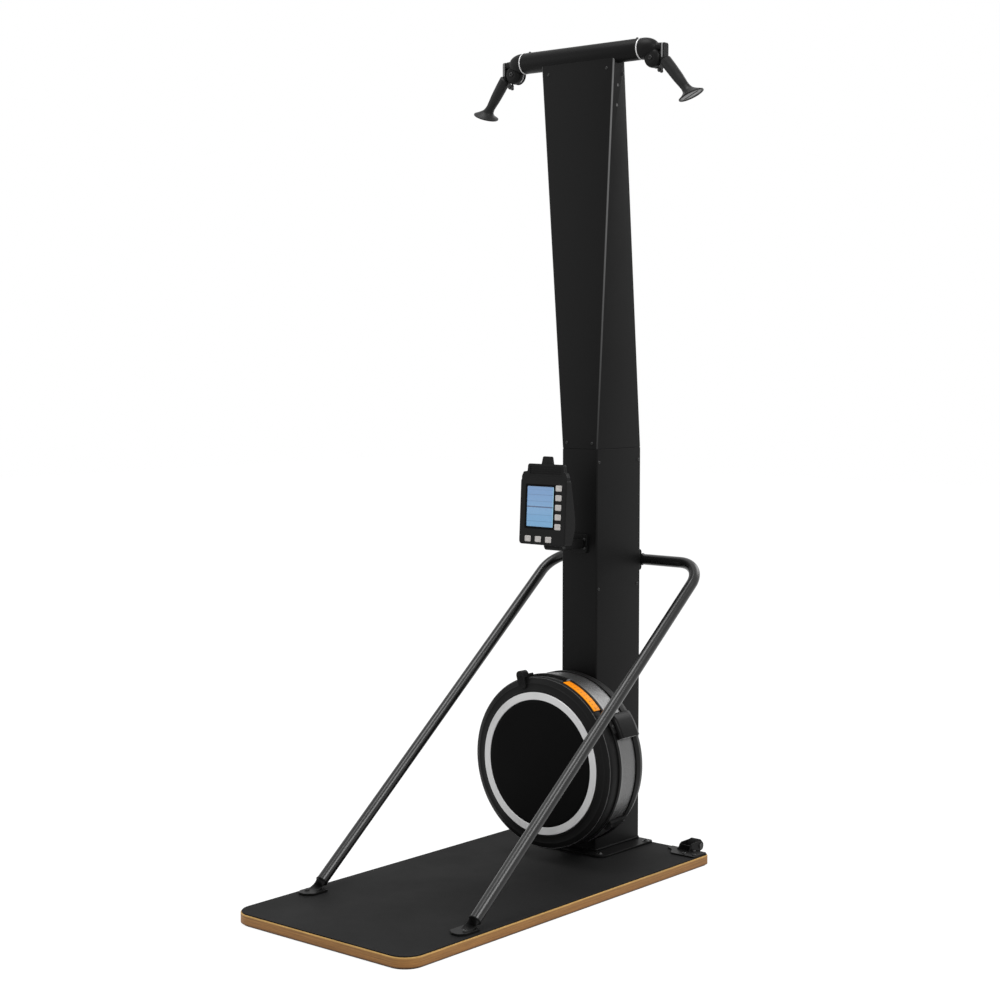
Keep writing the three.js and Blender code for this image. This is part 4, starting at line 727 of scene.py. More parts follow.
# Support frame: one bent tube, its saddle behind the column and a plate under each foot
tube = {
    "radius": 15.0, "bend": 78.0, "sides": 40, "slope": (0, 0.7764, 0.6302),
    "route": [(259, -348.3, 53.2), (259, 597.5, 821), (-259, 597.5, 821), (-259, -348.3, 53.2)],
}
saddle = {
    "bounds": (577.2, 594.2, 792.0, 850.0), "half": 52.0, "radii": [0.5, 9.0, 9.0, 0.5],
    "weld": [(14.5, -2.0), (16.4, -0.8), (16.8, 0.6), (14.5, 1.6)], "weldX": 52.6,
    "bolts": [(-40, 594.2, 800), (-40, 594.2, 842), (40, 594.2, 800), (40, 594.2, 842)],
    "boltSize": (6.0, 4.0),
}
foot = {
    "line": [(230, -352.5), (281, -352.5), (281, -404), (270, -420.5), (248, -420.5), (230, -404)],
    "radii": [5, 5, 9, 9, 9, 9], "low": 32.0, "high": 38.0, "bolts": [(267, -392, 38)],
    "boltSize": (6.5, 4.5),
    "socket": (259, -377.5, 36.0), "socketRadii": (17.0, 25.0), "neck": (259, -348.3, 53.2),
    "shares": (0.0, 0.12, 0.3, 0.5, 0.7, 0.86, 1.0), "slowUntil": 0.3, "slow": 0.55,
    "weld": [(14.5, -2.2), (16.0, -1.2), (16.3, 0), (16.0, 1.2), (14.5, 2.2)],
}


def footSocket():  # base oval on the plate drawn up into the tube's round end
    lift = Vector(tube["slope"]).cross(Vector(outward))
    wide, long = foot["socketRadii"]
    rings = []
    for share in foot["shares"]:
        ease = share * share * (3 - 2 * share) if share > foot["slowUntil"] else share * foot["slow"]
        ring = []
        for x, y in circle((0, 0), 1.0, tube["sides"]):
            low = Vector(foot["socket"]) + Vector((x * wide, y * long, 0))
            high = Vector(foot["neck"]) + (Vector(outward) * x - lift * y) * tube["radius"]
            ring.append(low.lerp(high, ease))
        rings.append(ring)
    return lofted(rings)


def makeFrame():
    route = bentRoute(tube["route"], tube["bend"], 16)
    piece("supportTube", swept(route, tube["radius"], tube["sides"]), "tubePaint", "support_frame")
    clamp = slab(saddle["bounds"], "x", -saddle["half"], saddle["half"], saddle["radii"])
    piece("frameSaddle", clamp, "blackPaint", "support_frame", bevel=1.2)
    plate = prism(rounded(foot["line"], foot["radii"], 5), "z", foot["low"], foot["high"])
    pair("FootPlate", plate, "blackPaint", "SIDE_frame_foot", bevel=1.0)
    pair("FootSocket", footSocket(), "blackPaint", "SIDE_frame_foot")
    pair("FootBolt", bolts(foot["bolts"], upward, *foot["boltSize"]), "boltBlack")
    bead = turned(foot["weld"], "z", (0, 0), 64)
    pair("FootWeld", placed(bead, facing(foot["neck"], tube["slope"])), "blackPaint")
    bead = turned(saddle["weld"], "x", tube["route"][1][1:], 64)
    pair("SaddleWeld", placed(bead, Matrix.Translation((saddle["weldX"], 0, 0))), "blackPaint")
    piece("saddleBolts", bolts(saddle["bolts"], rearward, *saddle["boltSize"]), "boltBlack")


makeFrame()
print("support frame made")

# Column: folded box on its foot plate, in two lengths with a seam between
barAxis = (385.5, 2181.0)
column = {
    "size": (60.0, 378.5, 576.9), "base": 38.0, "seam": 1135.0, "seamGap": 0.8, "fold": 5.0,
    "foot": ((-108.0, 108.0, 344.5, 582.9), "z", 32.0, 38.0, [24, 24, 12, 12], 8),
    "weldZ": 41.0, "weldRadius": 2.8, "washer": [(10, 38.0), (10, 39.2), (9.4, 39.5)],
    "bolts": [(-99, 557, 38), (99, 557, 38), (-86, 362, 38), (86, 362, 38)], "boltSize": (7.0, 5.5),
    "screws": [(60, 387, 1100), (60, 564, 1100), (60, 387, 757), (60, 561, 757)], "screwSize": (4.2, 2.2),
}
mast = {  # sizes are (half width, front, rear)
    "size": (122.8, 362.5, 410.5), "top": 2168.0, "fold": 5.5, "shares": (0.25, 0.5, 0.75, 1.0),
    "seat": [(28.6, -200), (28.6, 200)], "collar": ((-58.6, 58.6, 379.9, 575.5), "z", 1132.0, 1138.0, 4),
    "frontScrews": [(-43, 1151), (43, 1151), (-98, 2139), (98, 2139)], "rightScrew": (120.2, 405.7, 2125.9),
    "holes": [(118.4, 386.5, 2095.5), (115.3, 386.7, 2043.9)],
    "plug": [(2.2, -2.0), (2.2, 0.25), (3.3, 0.25), (3.6, -0.4)],
}


def mastSize(z):
    share = (z - column["seam"]) / (mast["top"] - column["seam"])
    return [low + (high - low) * share for low, high in zip(column["size"], mast["size"])]


def makeColumn():
    half, front, rear = column["size"]
    line = rounded(rectangle(-half, half, front, rear), column["fold"])
    shaft = prism(line, "z", column["base"], column["seam"] - column["seamGap"])
    piece("lowerColumn", shaft, "blackPaint", "lower_column", bevel=0.8)
    piece("columnFoot", slab(*column["foot"]), "blackPaint", "lower_column", bevel=1.2)
    bead = swept([(x, y, column["weldZ"]) for x, y in line], column["weldRadius"], 10, closed=True)
    piece("columnWeld", bead, "blackPaint")
    washers = [turned(column["washer"], "z", spot, 40) for spot in column["bolts"]]
    piece("columnBolts", joined(bolts(column["bolts"], upward, *column["boltSize"]), *washers), "boltBlack")
    side = bolts(column["screws"], outward, *column["screwSize"])
    piece("columnScrews", joined(side, mirrored(side)), "boltBlack")


def makeMast():
    seam, rise = column["seam"], mast["top"] - column["seam"]
    rings = []
    for z in [seam + column["seamGap"]] + [seam + share * rise for share in mast["shares"]]:
        half, front, rear = mastSize(z)
        rings.append([(x, y, z) for x, y in rounded(rectangle(-half, half, front, rear), mast["fold"])])
    seat = turned(mast["seat"], "x", barAxis, 64)
    # the mast's finish has a painted highlight along its folds
    piece("upperMast", combined(lofted(rings), cuts=[seat]), "foldPaint", "upper_mast", bevel=0.6)
    out = Vector((1, 0, (column["size"][0] - mast["size"][0]) / rise)).normalized()
    front = bolts([(x, mastSize(z)[1], z) for x, z in mast["frontScrews"]], forward, *column["screwSize"])
    side = domedBolt(mast["rightScrew"], out, *column["screwSize"])
    piece("mastScrews", joined(front, side, mirrored(side)), "boltBlack")
    plug = turned(mast["plug"], "z", (0, 0), 24)
    plugs = joined(*[placed(plug, facing(spot, out)) for spot in mast["holes"]])
    piece("mastHolePlugs", joined(plugs, mirrored(plugs)), "washerGrey")
    piece("seamCollar", slab(*mast["collar"]), "solidRubber")


makeColumn()
makeMast()
print("column and mast made")

# Top bar: round tube in the mast's seat, with a bright swivel ring at each end
bar = {
    "tube": (25.0, 28.0, -195.0, 195.0), "ring": (25.0, 28.6, 195.3, 198.3),
    "screws": [(-181.0, 385.5, 2208.6), (181.0, 385.5, 2208.6)], "screwSize": (3.7, 3.6),
}


def makeBar():
    piece("topBar", sleeve(bar["tube"], 0.7, "x", barAxis, 96), "blackPaint", "top_bar")
    piece("barScrews", bolts(bar["screws"], upward, *bar["screwSize"]), "boltBlack")
    pair("SwivelRing", sleeve(bar["ring"], 0.6, "x", barAxis, 96), "brightRing", "SIDE_swivel_ring")


makeBar()
print("top bar made")

# Pulley heads: domed casing that swivels on the bar's end, with a lobe over the sheave
head = {
    "start": 198.6, "radius": 27.8, "length": 47.0, "neck": 11.0, "rows": 18, "straight": 3 / 28,
    "domed": 25 / 28,
    "foot": [(0, 198.6), (26.9, 198.6), (27.8, 199.5)],
    "tip": [(10.67, 247.6), (9.9, 259.6), (8.8, 260.6), (0, 260.6)],
    "spigot": (20.0, 24.7, 162.6, 200.6), "centre": (234.0, 2154.0),
    "lobe": [(0.01, 369.5), (25.5, 369.5), (25.5, 404.5), (0.01, 404.5)], "lobeRadii": [0, 14, 3.5, 0],
    "slot": (389.5, 401.5), "pocket": 22.0, "mouth": (206.5, 261.5, 2114, 2154),
    "inlet": (193.6, 234, 2167, 2177),
    "bolt": (234.0, 369.5, 2154.0), "boltSize": (6.4, 4.0), "nutPlace": (234.0, 404.7, 2154.0),
    "nut": [(0, 0), (5.6, 0), (6.2, -0.6), (6.2, -4.4), (5.6, -5), (0, -5)], "pin": (3.7, 388, 403),
    "groove": [(21, 390.5), (21, 391.9), (18, 393.6), (18, 397.4), (21, 399.1), (21, 400.5), (4, 400.5),
               (4, 390.5)],
    "grooveRadii": [0.4, 0.4, 1.6, 1.6, 0.4, 0.4, 0.3, 0.3],
}


def makeHeads():
    centre, flat = head["centre"], 1 - (head["neck"] / head["radius"]) ** 2
    dome = []
    for i in range(1, head["rows"] + 1):
        share = i / head["rows"]
        along = head["start"] + head["length"] * (head["straight"] + head["domed"] * share)
        dome.append((head["radius"] * math.sqrt(1 - share * share * flat), along))
    casing = turned(head["foot"] + dome + head["tip"], "x", barAxis, 72)
    lobe = turned(rounded(head["lobe"], head["lobeRadii"], 8), "y", centre, 72)
    cuts = [rod(head["pocket"], *head["slot"], "y", centre, 72)]
    cuts += [slab(head[key], "y", *head["slot"]) for key in ("mouth", "inlet")]
    casing = combined(casing, cuts=cuts, adds=[lobe])
    pair("HeadCasing", casing, "blackPlastic", "SIDE_pulley_head", "SIDE_head", bevel=0.8)
    spigot = sleeve(head["spigot"], 0.5, "x", barAxis, 64)
    pair("HeadSpigot", spigot, "blackPlastic", "SIDE_pulley_head", "SIDE_head")
    pair("HeadBolt", domedBolt(head["bolt"], forward, *head["boltSize"]), "boltBlack", body="SIDE_head")
    nut = placed(turned(head["nut"], "z", (0, 0), 6), facing(head["nutPlace"], forward))
    pair("HeadNut", nut, "boltBlack", body="SIDE_head", bevel=0.4)
    groove = turned(rounded(head["groove"], head["grooveRadii"], 4), "y", centre, 72, closed=True)
    pair("HeadSheave", groove, "sheaveNylon", "SIDE_head_sheave", "SIDE_head_sheave")
    pair("HeadPin", rod(*head["pin"], "y", centre, 32), "steel", body="SIDE_head")


makeHeads()
print("pulley heads made")

# Cords: braided, from the drums up the column, along the bar and over the head sheaves
cords = {
    "radius": 2.4, "sides": 20, "y": 395.5, "x": 252.0, "barZ": 2172.0, "barEnd": 198.3, "sheaveRadius": 18.0,
    "guideX": 32.0, "guideZ": 2154.0, "guideDrop": 9, "drumX": 25.0, "drumY": {"right": 466.5, "left": 410.5},
    "pullTop": 2153.4, "pullLength": 23.6, "pullRows": 160, "returnRadius": 3.0, "returnRows": 16,
    "blendStart": (0.252, 0.3955, 2.154), "blendEnd": (0.252, 0.3955, 2.130),
}


def makeCords():
    c = cords
    y, radius = c["y"], c["sheaveRadius"]
    for side, sign in (("right", 1), ("left", -1)):
        route = [(c["drumX"], c["drumY"][side], axleZ)]
        route.append((sign * (c["guideX"] - radius), y, c["guideZ"] - c["guideDrop"]))
        route += arcLine((sign * c["guideX"], c["guideZ"]), radius, 90 + sign * 90, 90, y)
        drive = swept(route + [(sign * c["barEnd"], y, c["barZ"])], c["radius"], c["sides"])
        piece(f"{side}DriveCord", drive, "braidedCover", f"{side}_drive_cord")
        route = [(head["start"], y, c["barZ"])] + arcLine(head["centre"], radius, 90, 0, y)
        strand = swept(route, c["radius"], c["sides"])
        strand = strand if sign > 0 else mirrored(strand)
        piece(f"{side}HeadCord", strand, "braidedCover", f"{side}_head_cord", f"{side}_head")
        rows = c["pullRows"]
        route = [(c["x"], y, c["pullTop"] - c["pullLength"] * i / rows) for i in range(rows + 1)]
        strand = swept(route, c["radius"], c["sides"])
        strand = strand if sign > 0 else mirrored(strand)
        pull = piece(f"{side}PullCord", strand, "braidedCover", body=f"{side}_head")
        pull.parent = None
        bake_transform(pull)
        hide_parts(f"{side}_pull_cord")
    low, high = (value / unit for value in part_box("return_cord"))
    radius = (high.y - low.y) / 2 - c["returnRadius"]
    centre = ((high.y + low.y) / 2, high.z - c["returnRadius"] - radius)
    x = (low.x + high.x) / 2
    loop = [(x, y, z) for y, _, z in arcLine(centre, radius, 180, 0, 0, c["returnRows"])]
    route = [(x, loop[0][1], axleZ)] + loop + [(x, loop[-1][1], axleZ)]
    piece("returnCord", swept(route, c["returnRadius"], c["sides"]), "braidedCover", "return_cord")


makeCords()
print("cords made")

# Handles: knuckle at the head's end, cord stop, and a grip that splays out to a flared end
handle = {
    "top": (270.0, 387.5, 2144.5), "splay": 39.3, "endSplay": 24.0, "length": 95.0, "lean": 4.0,
    "endTwist": 5.0,
    "grip": [(-5.1, 9.2), (0, 15.4), (21.7, 15.4), (59, 14.4), (85.5, 12.4), (95, 12.4)],  # distance, radius
    "flareLength": 25.0, "flareRadius": 34.6, "flare": [(0.42, 0.13), (0.74, 0.5), (1, 1)],
    "rim": [(0, 0.8), (0, 2.2), (-0.8, 3.0), (-3.2, 3.0), (-4.4, 2.4), (-6.2, -0.2)],  # beside, beyond
    "disc": [(29.8, -0.4), (29.4, 0.9), (28.4, 1.3), (12, 1.5)], "slotRise": 1.2,
    "slot": ((-23.0, 23.0, -2.6, 2.6), "z", -0.6, 0.75, 2.4),
    "knuckle": ((376.5, 399.5, 2142.0, 2189.5), "x", 260.9, 267.2, [5, 5, 4, 4]),
    "cap": ((376.5, 399.5, 2142.0, 2190.0), "x", 268.0, 271.6, [5, 5, 6, 6]),
    "shimAndHighlight": ((376.0, 400.0, 2150.5, 2189.8), "x", 264.2, 268.3, 4),
    "lug": [(249, 2127), (256.5, 2118), (273, 2138.5), (264, 2147.5)], "lugY": (385.0, 389.8),
    "eye": (252.0, 2122.5), "eyeRadii": (2.9, 6.0), "hole": (2.9, 380, 395),
}
stop = {
    "ferrule": [(0, 2129.5), (3.15, 2129.5), (3.69, 2129.1), (4.5, 2127.3), (4.5, 2124.5), (3.87, 2123.9),
                (3.87, 2122.5), (4.5, 2121.9), (4.5, 2117.7), (2.25, 2115.5), (0, 2115.5)],
    "pin": [(0, 382.5), (2.0, 382.5), (2.5, 383.0), (2.5, 395.5), (0, 395.5)],
}


def spline(rows, steps=5):  # smooth line through rows of numbers
    line = []
    for i in range(len(rows) - 1):
        a, b, c, d = (Vector(rows[max(0, min(len(rows) - 1, k))]) for k in (i - 1, i, i + 1, i + 2))
        for step in range(steps):
            t = step / steps
            line.append(0.5 * (2 * b + (c - a) * t + (2 * a - 5 * b + 4 * c - d) * t * t
                               + (3 * b - a - 3 * c + d) * t ** 3))
    return line + [Vector(rows[-1])]


def handleWay(angle):  # the flare leans back a little more than the grip
    share = (handle["splay"] - angle) / (handle["splay"] - handle["endSplay"])
    turn, lean = math.radians(angle), math.radians(handle["lean"] + handle["endTwist"] * share)
    return Vector((math.sin(turn), math.tan(lean) * math.cos(turn), -math.cos(turn))).normalized()


def handleRing(distance, angle, radius, beyond=0.0):
    way = handleWay(angle)
    centre = Vector(handle["top"]) + handleWay(handle["splay"]) * distance
    centre += handleWay(handle["endSplay"]) * beyond
    across = Vector(rearward).cross(way).normalized()
    level = way.cross(across)
    return [tuple(centre + (across * x + level * y) * radius) for x, y in circle((0, 0), 1.0, 56)]


def gripRows():
    rows = [(distance, handle["splay"], radius) for distance, radius in handle["grip"]]
    waist = rows[-1][2]
    for along, wide in handle["flare"]:
        rows.append((handle["length"] + handle["flareLength"] * along,
                     handle["splay"] + (handle["endSplay"] - handle["splay"]) * along,
                     waist + (handle["flareRadius"] - waist) * wide))
    return [rows[0]] + [tuple(row) for row in spline(rows[1:])]


def makeHandles():
    rows = gripRows()
    end, tilt, wide = rows[-1][0], handle["endSplay"], handle["flareRadius"]
    rings = [handleRing(*row) for row in rows]
    rings += [handleRing(end, tilt, wide + beside, beyond) for beside, beyond in handle["rim"]]
    own = {"body": "SIDE_handle"}
    pair("Grip", lofted(rings), "gripRubber", "SIDE_handle", sharp=50, **own)
    disc = lofted([handleRing(end, tilt, radius, beyond) for radius, beyond in handle["disc"]])
    pair("GripEnd", disc, "faceGrey", sharp=50, **own)
    out = handleWay(tilt)
    across = Vector(rearward).cross(out).normalized()
    turn = Matrix((across, out.cross(across), out)).transposed().to_4x4()
    turn.translation = Vector(handle["top"]) + handleWay(handle["splay"]) * end + out * handle["slotRise"]
    pair("GripSlot", placed(slab(*handle["slot"]), turn), "solidRubber", bevel=0.2, **own)
    blocks = joined(slab(*handle["knuckle"]), slab(*handle["cap"]))
    pair("Knuckle", blocks, "blackPlastic", "SIDE_handle", bevel=1.6, segments=3, **own)
    # the grey shim plate between knuckle and cap is also a painted highlight along the knuckle's edge
    pair("KnuckleShim", slab(*handle["shimAndHighlight"]), "washerGrey", "SIDE_handle", bevel=0.4, **own)
    link = prism(handle["lug"], "y", *handle["lugY"])
    eye = turned(rectangle(*handle["eyeRadii"], *handle["lugY"]), "y", handle["eye"], 40, closed=True)
    hole = rod(*handle["hole"], "y", handle["eye"], 40)
    lug = joined(combined(link, cuts=[hole]), eye)
    pair("HandleLug", lug, "boltBlack", "SIDE_handle", bevel=0.5, **own)
    ferrule = turned(stop["ferrule"], "z", (cords["x"], cords["y"]), 40)
    shape = joined(ferrule, turned(stop["pin"], "y", handle["eye"], 32))
    pair("CordStop", shape, "boltBlack", "SIDE_cord_stop", "SIDE_cord_stop")


makeHandles()
print("handles made")

# Flywheel housing: cover, bright ring, perforated cage, rear shell, covers, damper and its scale
cover = {  # profiles of (radius, y)
    "disc": [(0, 203.4), (30, 203.55), (60, 203.95), (90, 204.6), (120, 205.5), (145, 206.35), (160, 206.95),
             (168.5, 207.25), (170.4, 207.9), (171.0, 208.8), (171.0, 211.1), (0, 211.1)],
    "shoulder": [(166, 211.1), (191.4, 211.1), (191.7, 209.6), (192.4, 208.9), (195.6, 208.9), (196.6, 209.4),
                 (197.2, 210.9), (198.4, 211.3), (206.0, 212.2), (213.4, 213.4), (214.4, 213.2),
                 (215.2, 214.1),
                 (220.5, 216.0), (225.0, 218.0), (228.4, 220.2), (230.8, 222.6), (231.8, 224.4),
                 (228.6, 224.4),
                 (221.0, 219.4), (191.8, 216.6), (166, 216.6)],
    "ring": [(171.3, 210.8), (171.3, 207.9), (172.1, 207.1), (190.7, 207.1), (191.5, 207.9), (191.5, 210.8)],
    "cage": [(229.2, 219.5), (229.2, cageFrontY), (cageRadius, cageFrontY), (229.2, cageRearY),
             (228.2, cageRearY), (235.0, 261.5), (228.2, 261.5), (228.2, 219.5)],
}
shell = {
    "line": [(22.3, 378.2), (48, 378.2), (48, 367.5), (225.4, 367.5), (233.4, 346.5), (233.4, 329.5),
             (230.4, 329.5), (229.6, 337.5), (229.6, 343.5), (222.4, 364.5), (28, 364.5), (28, 361.5),
             (22.3, 361.5)],
    "radii": [0.5, 1.5, 2, 7, 9, 1.3, 0.4, 0, 2, 2, 0, 0, 0],
    "clipLine": [(236.8, 261.4), (245.2, 261.4), (245.8, 266), (239.4, 334), (234.6, 342), (231.4, 342),
                 (231.2, 337.6)],
    "clipRadii": [0.4, 2.5, 5, 8, 4, 0.4, 0.4], "clips": [-38, 218], "clipHalf": 3.2,
    "bolts": [(272, 245.2), (330, 239.6)], "boltSize": (3.6, 2.2),
}
sideCover = {
    "line": [(237.0, 261.3), (248.6, 261.3), (252.4, 269.5), (248.6, 337.0), (241.2, 352.3), (234.8, 352.3),
             (234.6, 329.0), (231.6, 326.6)],
    "radii": [0.5, 7, 9, 14, 3, 0.5, 0.5, 0.3], "base": 238.0, "start": 21.0, "end": 38.0, "ease": 6.0,
    "spread": 1.6, "least": 0.08, "steps": 28, "bolt": (29.8, 254.5, 241.6), "boltSize": (4.6, 3.0),
    "lugLine": [(237.2, 247.5), (241.8, 247.5), (241.8, 261.6), (237.2, 261.6)],
    "lugRadii": [0.8, 1.6, 0.4, 0.4],
    "lug": (25.2, 33.4, 8), "lip": (20.65, 23.5, 6),
    "lipLine": [(237.2, 264), (250.2, 268), (249.6, 292), (245.5, 330), (237.6, 340)],
}
damper = {
    "band": (230.4, 232.2, 225.0, 251.7), "bandArc": (104.0, 435.0, 150), "stripArc": (74.5, 104.5, 16),
    "strips": [(230.4, 232.2, 225.0, 229.0), (230.4, 232.2, 247.7, 251.9)],
    "rim": (230.4, 236.0, 251.7, 260.2), "rimRadii": [0.2, 1.2, 1.2, 0.2], "lever": 106.0,
    "face": ((-11.8, 11.8, 204.0, 252.0), "y", 206.0, 211.4, [6, 6, 11.5, 11.5], 8),
    "crown": ((-11.8, 11.8, 234.4, 252.0), "y", 206.01, 230.0, [1, 1, 11.5, 11.5], 8),
    "neck": ((-7.0, 7.0, 234.4, 241.0), "y", 229.0, 255.95, [1, 1, 2, 2], 4),
    "link": ((-7.0, 7.0, 230.4, 234.9), "y", 252.0, 259.9),
    "flute": [(0, 207), (1.7, 209), (1.7, 238), (0, 243)], "flutes": [-7.2, -2.4, 2.4, 7.2], "fluteY": 205.5,
    "pointer": [(-1.2, 243.8), (1.2, 243.8), (2.6, 248), (2.6, 259), (-2.6, 259), (-2.6, 248)],
    "pointerHeights": (235.2, 236.3), "pointerClock": 74.0,
}
scale = {
    "bounds": (233.4, 234.8, 224.8, 251.3), "start": 43.0, "end": 73.0, "arcSteps": 30, "inkRadius": 234.92,
    "numbers": 10, "lead": 0.7, "spare": 0.4, "size": 8.5, "numberY": 236.2, "tickY": 245.9,
    "tick": [(-0.45, -3), (0.45, -3), (0.45, 3), (-0.45, 3)],
}


def aroundAxle(line, closed=True):
    return turned(line, "y", (0, axleZ), 160, closed)


def spokeBolt(clock, y, radius, size):  # its head looks straight out from the axle
    way = Vector((math.cos(math.radians(clock)), 0, math.sin(math.radians(clock))))
    return domedBolt(Vector((0, y, axleZ)) + way * radius, way, *size)


def domedArc(line):  # profile round the axle, rounded off at its end
    base, start, end, ease, least = [sideCover[key] for key in ("base", "start", "end", "ease", "least")]
    rings = []
    for step in range(sideCover["steps"] + 1):
        angle = start + (end - start) * (1 - (1 - step / sideCover["steps"]) ** sideCover["spread"])
        near = max(0.0, (angle - (end - ease)) / ease)
        size = math.sqrt(max(0.0, 1 - near * near)) * (1 - least) + least
        turn = math.radians(angle)
        eased = [(base + (r - base) * size if r > base else r, y) for r, y in line]
        rings.append([(r * math.cos(turn), y, axleZ + r * math.sin(turn)) for r, y in eased])
    return lofted(rings)


def makeHousing():
    piece("coverDisc", aroundAxle(cover["disc"], closed=False), "discPlastic", "front_cover")
    piece("coverShoulder", aroundAxle(cover["shoulder"]), "blackPlastic", "front_cover", sharp=25)
    piece("coverRing", aroundAxle(cover["ring"]), "brightRing", "cover_ring", sharp=25)
    piece("airCage", aroundAxle(cover["cage"]), "perforatedSheet", "air_cage", sharp=25)
    piece("rearShell", aroundAxle(rounded(shell["line"], shell["radii"], 5)), "blackPlastic", "rear_shell")
    line, half = rounded(shell["clipLine"], shell["clipRadii"], 4), shell["clipHalf"]
    clips = [arcLoft(line, clock - half, clock + half, 10) for clock in shell["clips"]]
    piece("rearClips", joined(*clips), "blackPlastic", "rear_shell", bevel=1.2, segments=3)
    heads = [spokeBolt(clock, y, radius, shell["boltSize"])
             for clock in shell["clips"] for y, radius in shell["bolts"]]
    piece("clipBolts", joined(*heads), "boltBlack")
    body = domedArc(rounded(sideCover["line"], sideCover["radii"], 5))
    pair("SideCover", body, "glossPlastic", "SIDE_side_cover", bevel=1.0, segments=3)
    pair("SideCoverBolt", spokeBolt(*sideCover["bolt"], sideCover["boltSize"]), "boltBlack")
    line = rounded(sideCover["lugLine"], sideCover["lugRadii"], 3)
    pair("SideCoverLug", arcLoft(line, *sideCover["lug"]), "blackPlastic", bevel=0.8)
    line = rounded(sideCover["lipLine"], 1.5, 3)
    pair("SideCoverLip", arcLoft(line, *sideCover["lip"]), "washerGrey", bevel=0.3)


def atClock(angle):
    return Matrix.Translation((0, 0, axleZ)) @ Matrix.Rotation(math.radians(90 - angle), 4, "Y")


def makeDamper():
    d = damper
    shapes = [arcLoft(rounded(rectangle(*d["band"]), 0.4, 2), *d["bandArc"]),
              sleeve(d["rim"], d["rimRadii"], "y", (0, axleZ), 160, 4)]
    shapes += [arcLoft(rounded(rectangle(*bounds), 0.3, 2), *d["stripArc"]) for bounds in d["strips"]]
    piece("damperBand", joined(*shapes), "blackPlastic", "damper_ring", "damper", sharp=30)
    thumb = combined(slab(*d["face"]), adds=[slab(*d["crown"])])
    flutes = [turned(d["flute"], "z", (across, d["fluteY"]), 20) for across in d["flutes"]]
    shapes = {"damperThumb": (combined(thumb, cuts=flutes), 1.4),
              "damperLever": (joined(slab(*d["neck"]), slab(*d["link"])), 0.9)}
    for name, (shape, bevel) in shapes.items():
        shape = placed(shape, atClock(d["lever"]))
        piece(name, shape, "blackPlastic", "damper_ring", "damper", bevel=bevel, segments=3)
    tab = prism(rounded(d["pointer"], 0.5, 3), "z", *d["pointerHeights"])
    piece("damperPointer", placed(tab, atClock(d["pointerClock"])), "washerGrey", body="damper", bevel=0.2)


def wrapped(points, clock, y):  # flat (across, up) millimetres laid on the strip, read from outside
    laid, radius = [], scale["inkRadius"]
    for across, up in points:
        angle = math.radians(clock) - across / radius
        laid.append((radius * math.cos(angle), y - up, axleZ + radius * math.sin(angle)))
    return laid


def numeral(text):
    curve = bpy.data.curves.new("numeral", "FONT")
    curve.body = text
    curve.size = scale["size"] * unit
    curve.align_x = "CENTER"
    curve.align_y = "CENTER"
    obj = bpy.data.objects.new("numeral", curve)
    scene.collection.objects.link(obj)
    bpy.context.view_layer.update()
    flat = obj.evaluated_get(bpy.context.evaluated_depsgraph_get()).to_mesh()
    points = [(v.co.x / unit, v.co.y / unit) for v in flat.vertices]
    faces = [tuple(polygon.vertices) for polygon in flat.polygons]
    bpy.data.objects.remove(obj)
    bpy.data.curves.remove(curve)
    return points, faces


def makeScale():
    s = scale
    strip = arcLoft(rounded(rectangle(*s["bounds"]), 0.4, 2), s["start"], s["end"], s["arcSteps"])
    piece("scaleStrip", strip, "orangeFilm", "scale_strip", sharp=30)
    marks = []
    for k in range(s["numbers"]):
        clock = s["end"] - (s["end"] - s["start"]) * (k + s["lead"]) / (s["numbers"] + s["spare"])
        points, faces = numeral(str(k + 1))
        marks.append((wrapped(points, clock, s["numberY"]), faces))
        marks.append((wrapped(s["tick"], clock, s["tickY"]), [(0, 1, 2, 3)]))
    piece("scaleNumbers", joined(*marks), "inkBlack")


makeHousing()
makeDamper()
makeScale()
print("flywheel housing made")

# Monitor: wedge-backed body with a dock on top, display, keys, and the arm that carries it.
# Its pivot is the origin here and its face looks to -Y; slabs are (x, x, z, z) by y.
monitor = {
    "place": (0, 273.5, 879.0), "tilt": -3.0, "face": -52.0,
    "case": ((-82.0, 75.0, 3.5, 179.5), "y", -52.0, -11.0, 9.0, 8),
    "wedges": [[(-35, 179.5), (-11, 71.5), (20, 71.5), (20, 199.5), (-35, 199.5)],
               [(-24, 3.5), (-11, 47.5), (20, 47.5), (20, -16.5), (-24, -16.5)]], "wedgeHalf": 90,
    "lens": (-59.5, 32.5, 50.6, 159.6), "lensGap": 0.3,
    "film": ((-78.8, 71.8, 6.7, 176.3), "y", -52.5, -51.8, 7),
    "windowGrow": -1.0, "borderGrow": 5.0, "cutFront": -57.0,
    "dock": [(73.5, 170.5), (73.5, 184.5), (68.0, 196.5), (62.0, 198.5), (60.0, 218.5), (-60.0, 218.5),
             (-62.0, 198.5), (-75.0, 196.5), (-80.5, 184.5), (-80.5, 170.5)],
    "dockRadii": [1, 5, 4, 2, 6, 6, 2, 4, 5, 1], "dockY": (-51.0, -38.0),
    "tab": [(-21.4, 212.5), (21.4, 212.5), (19, 219.5), (15, 239), (-15, 239), (-19, 219.5)],
    "tabRadii": [1, 1, 3, 5, 5, 3], "tabY": (-45.0, -38.5),
    "hollow": ((-53, 53, 191.5, 212.5), "y", -56, -49, 3, 5),
    "ribs": (187.5, 195.0, 200.5, 206.0), "ribHalf": 56, "ribHeight": 1.8, "ribY": (-51.8, -48.0),
    "ear": [(-12, 0), (12, 0), (-5, 35.5), (-23, 35.5), (-30, 12.5)], "earX": [(-28.5, -20.5), (20.5, 28.5)],
    "earRadii": (4.4, 12.0),
}
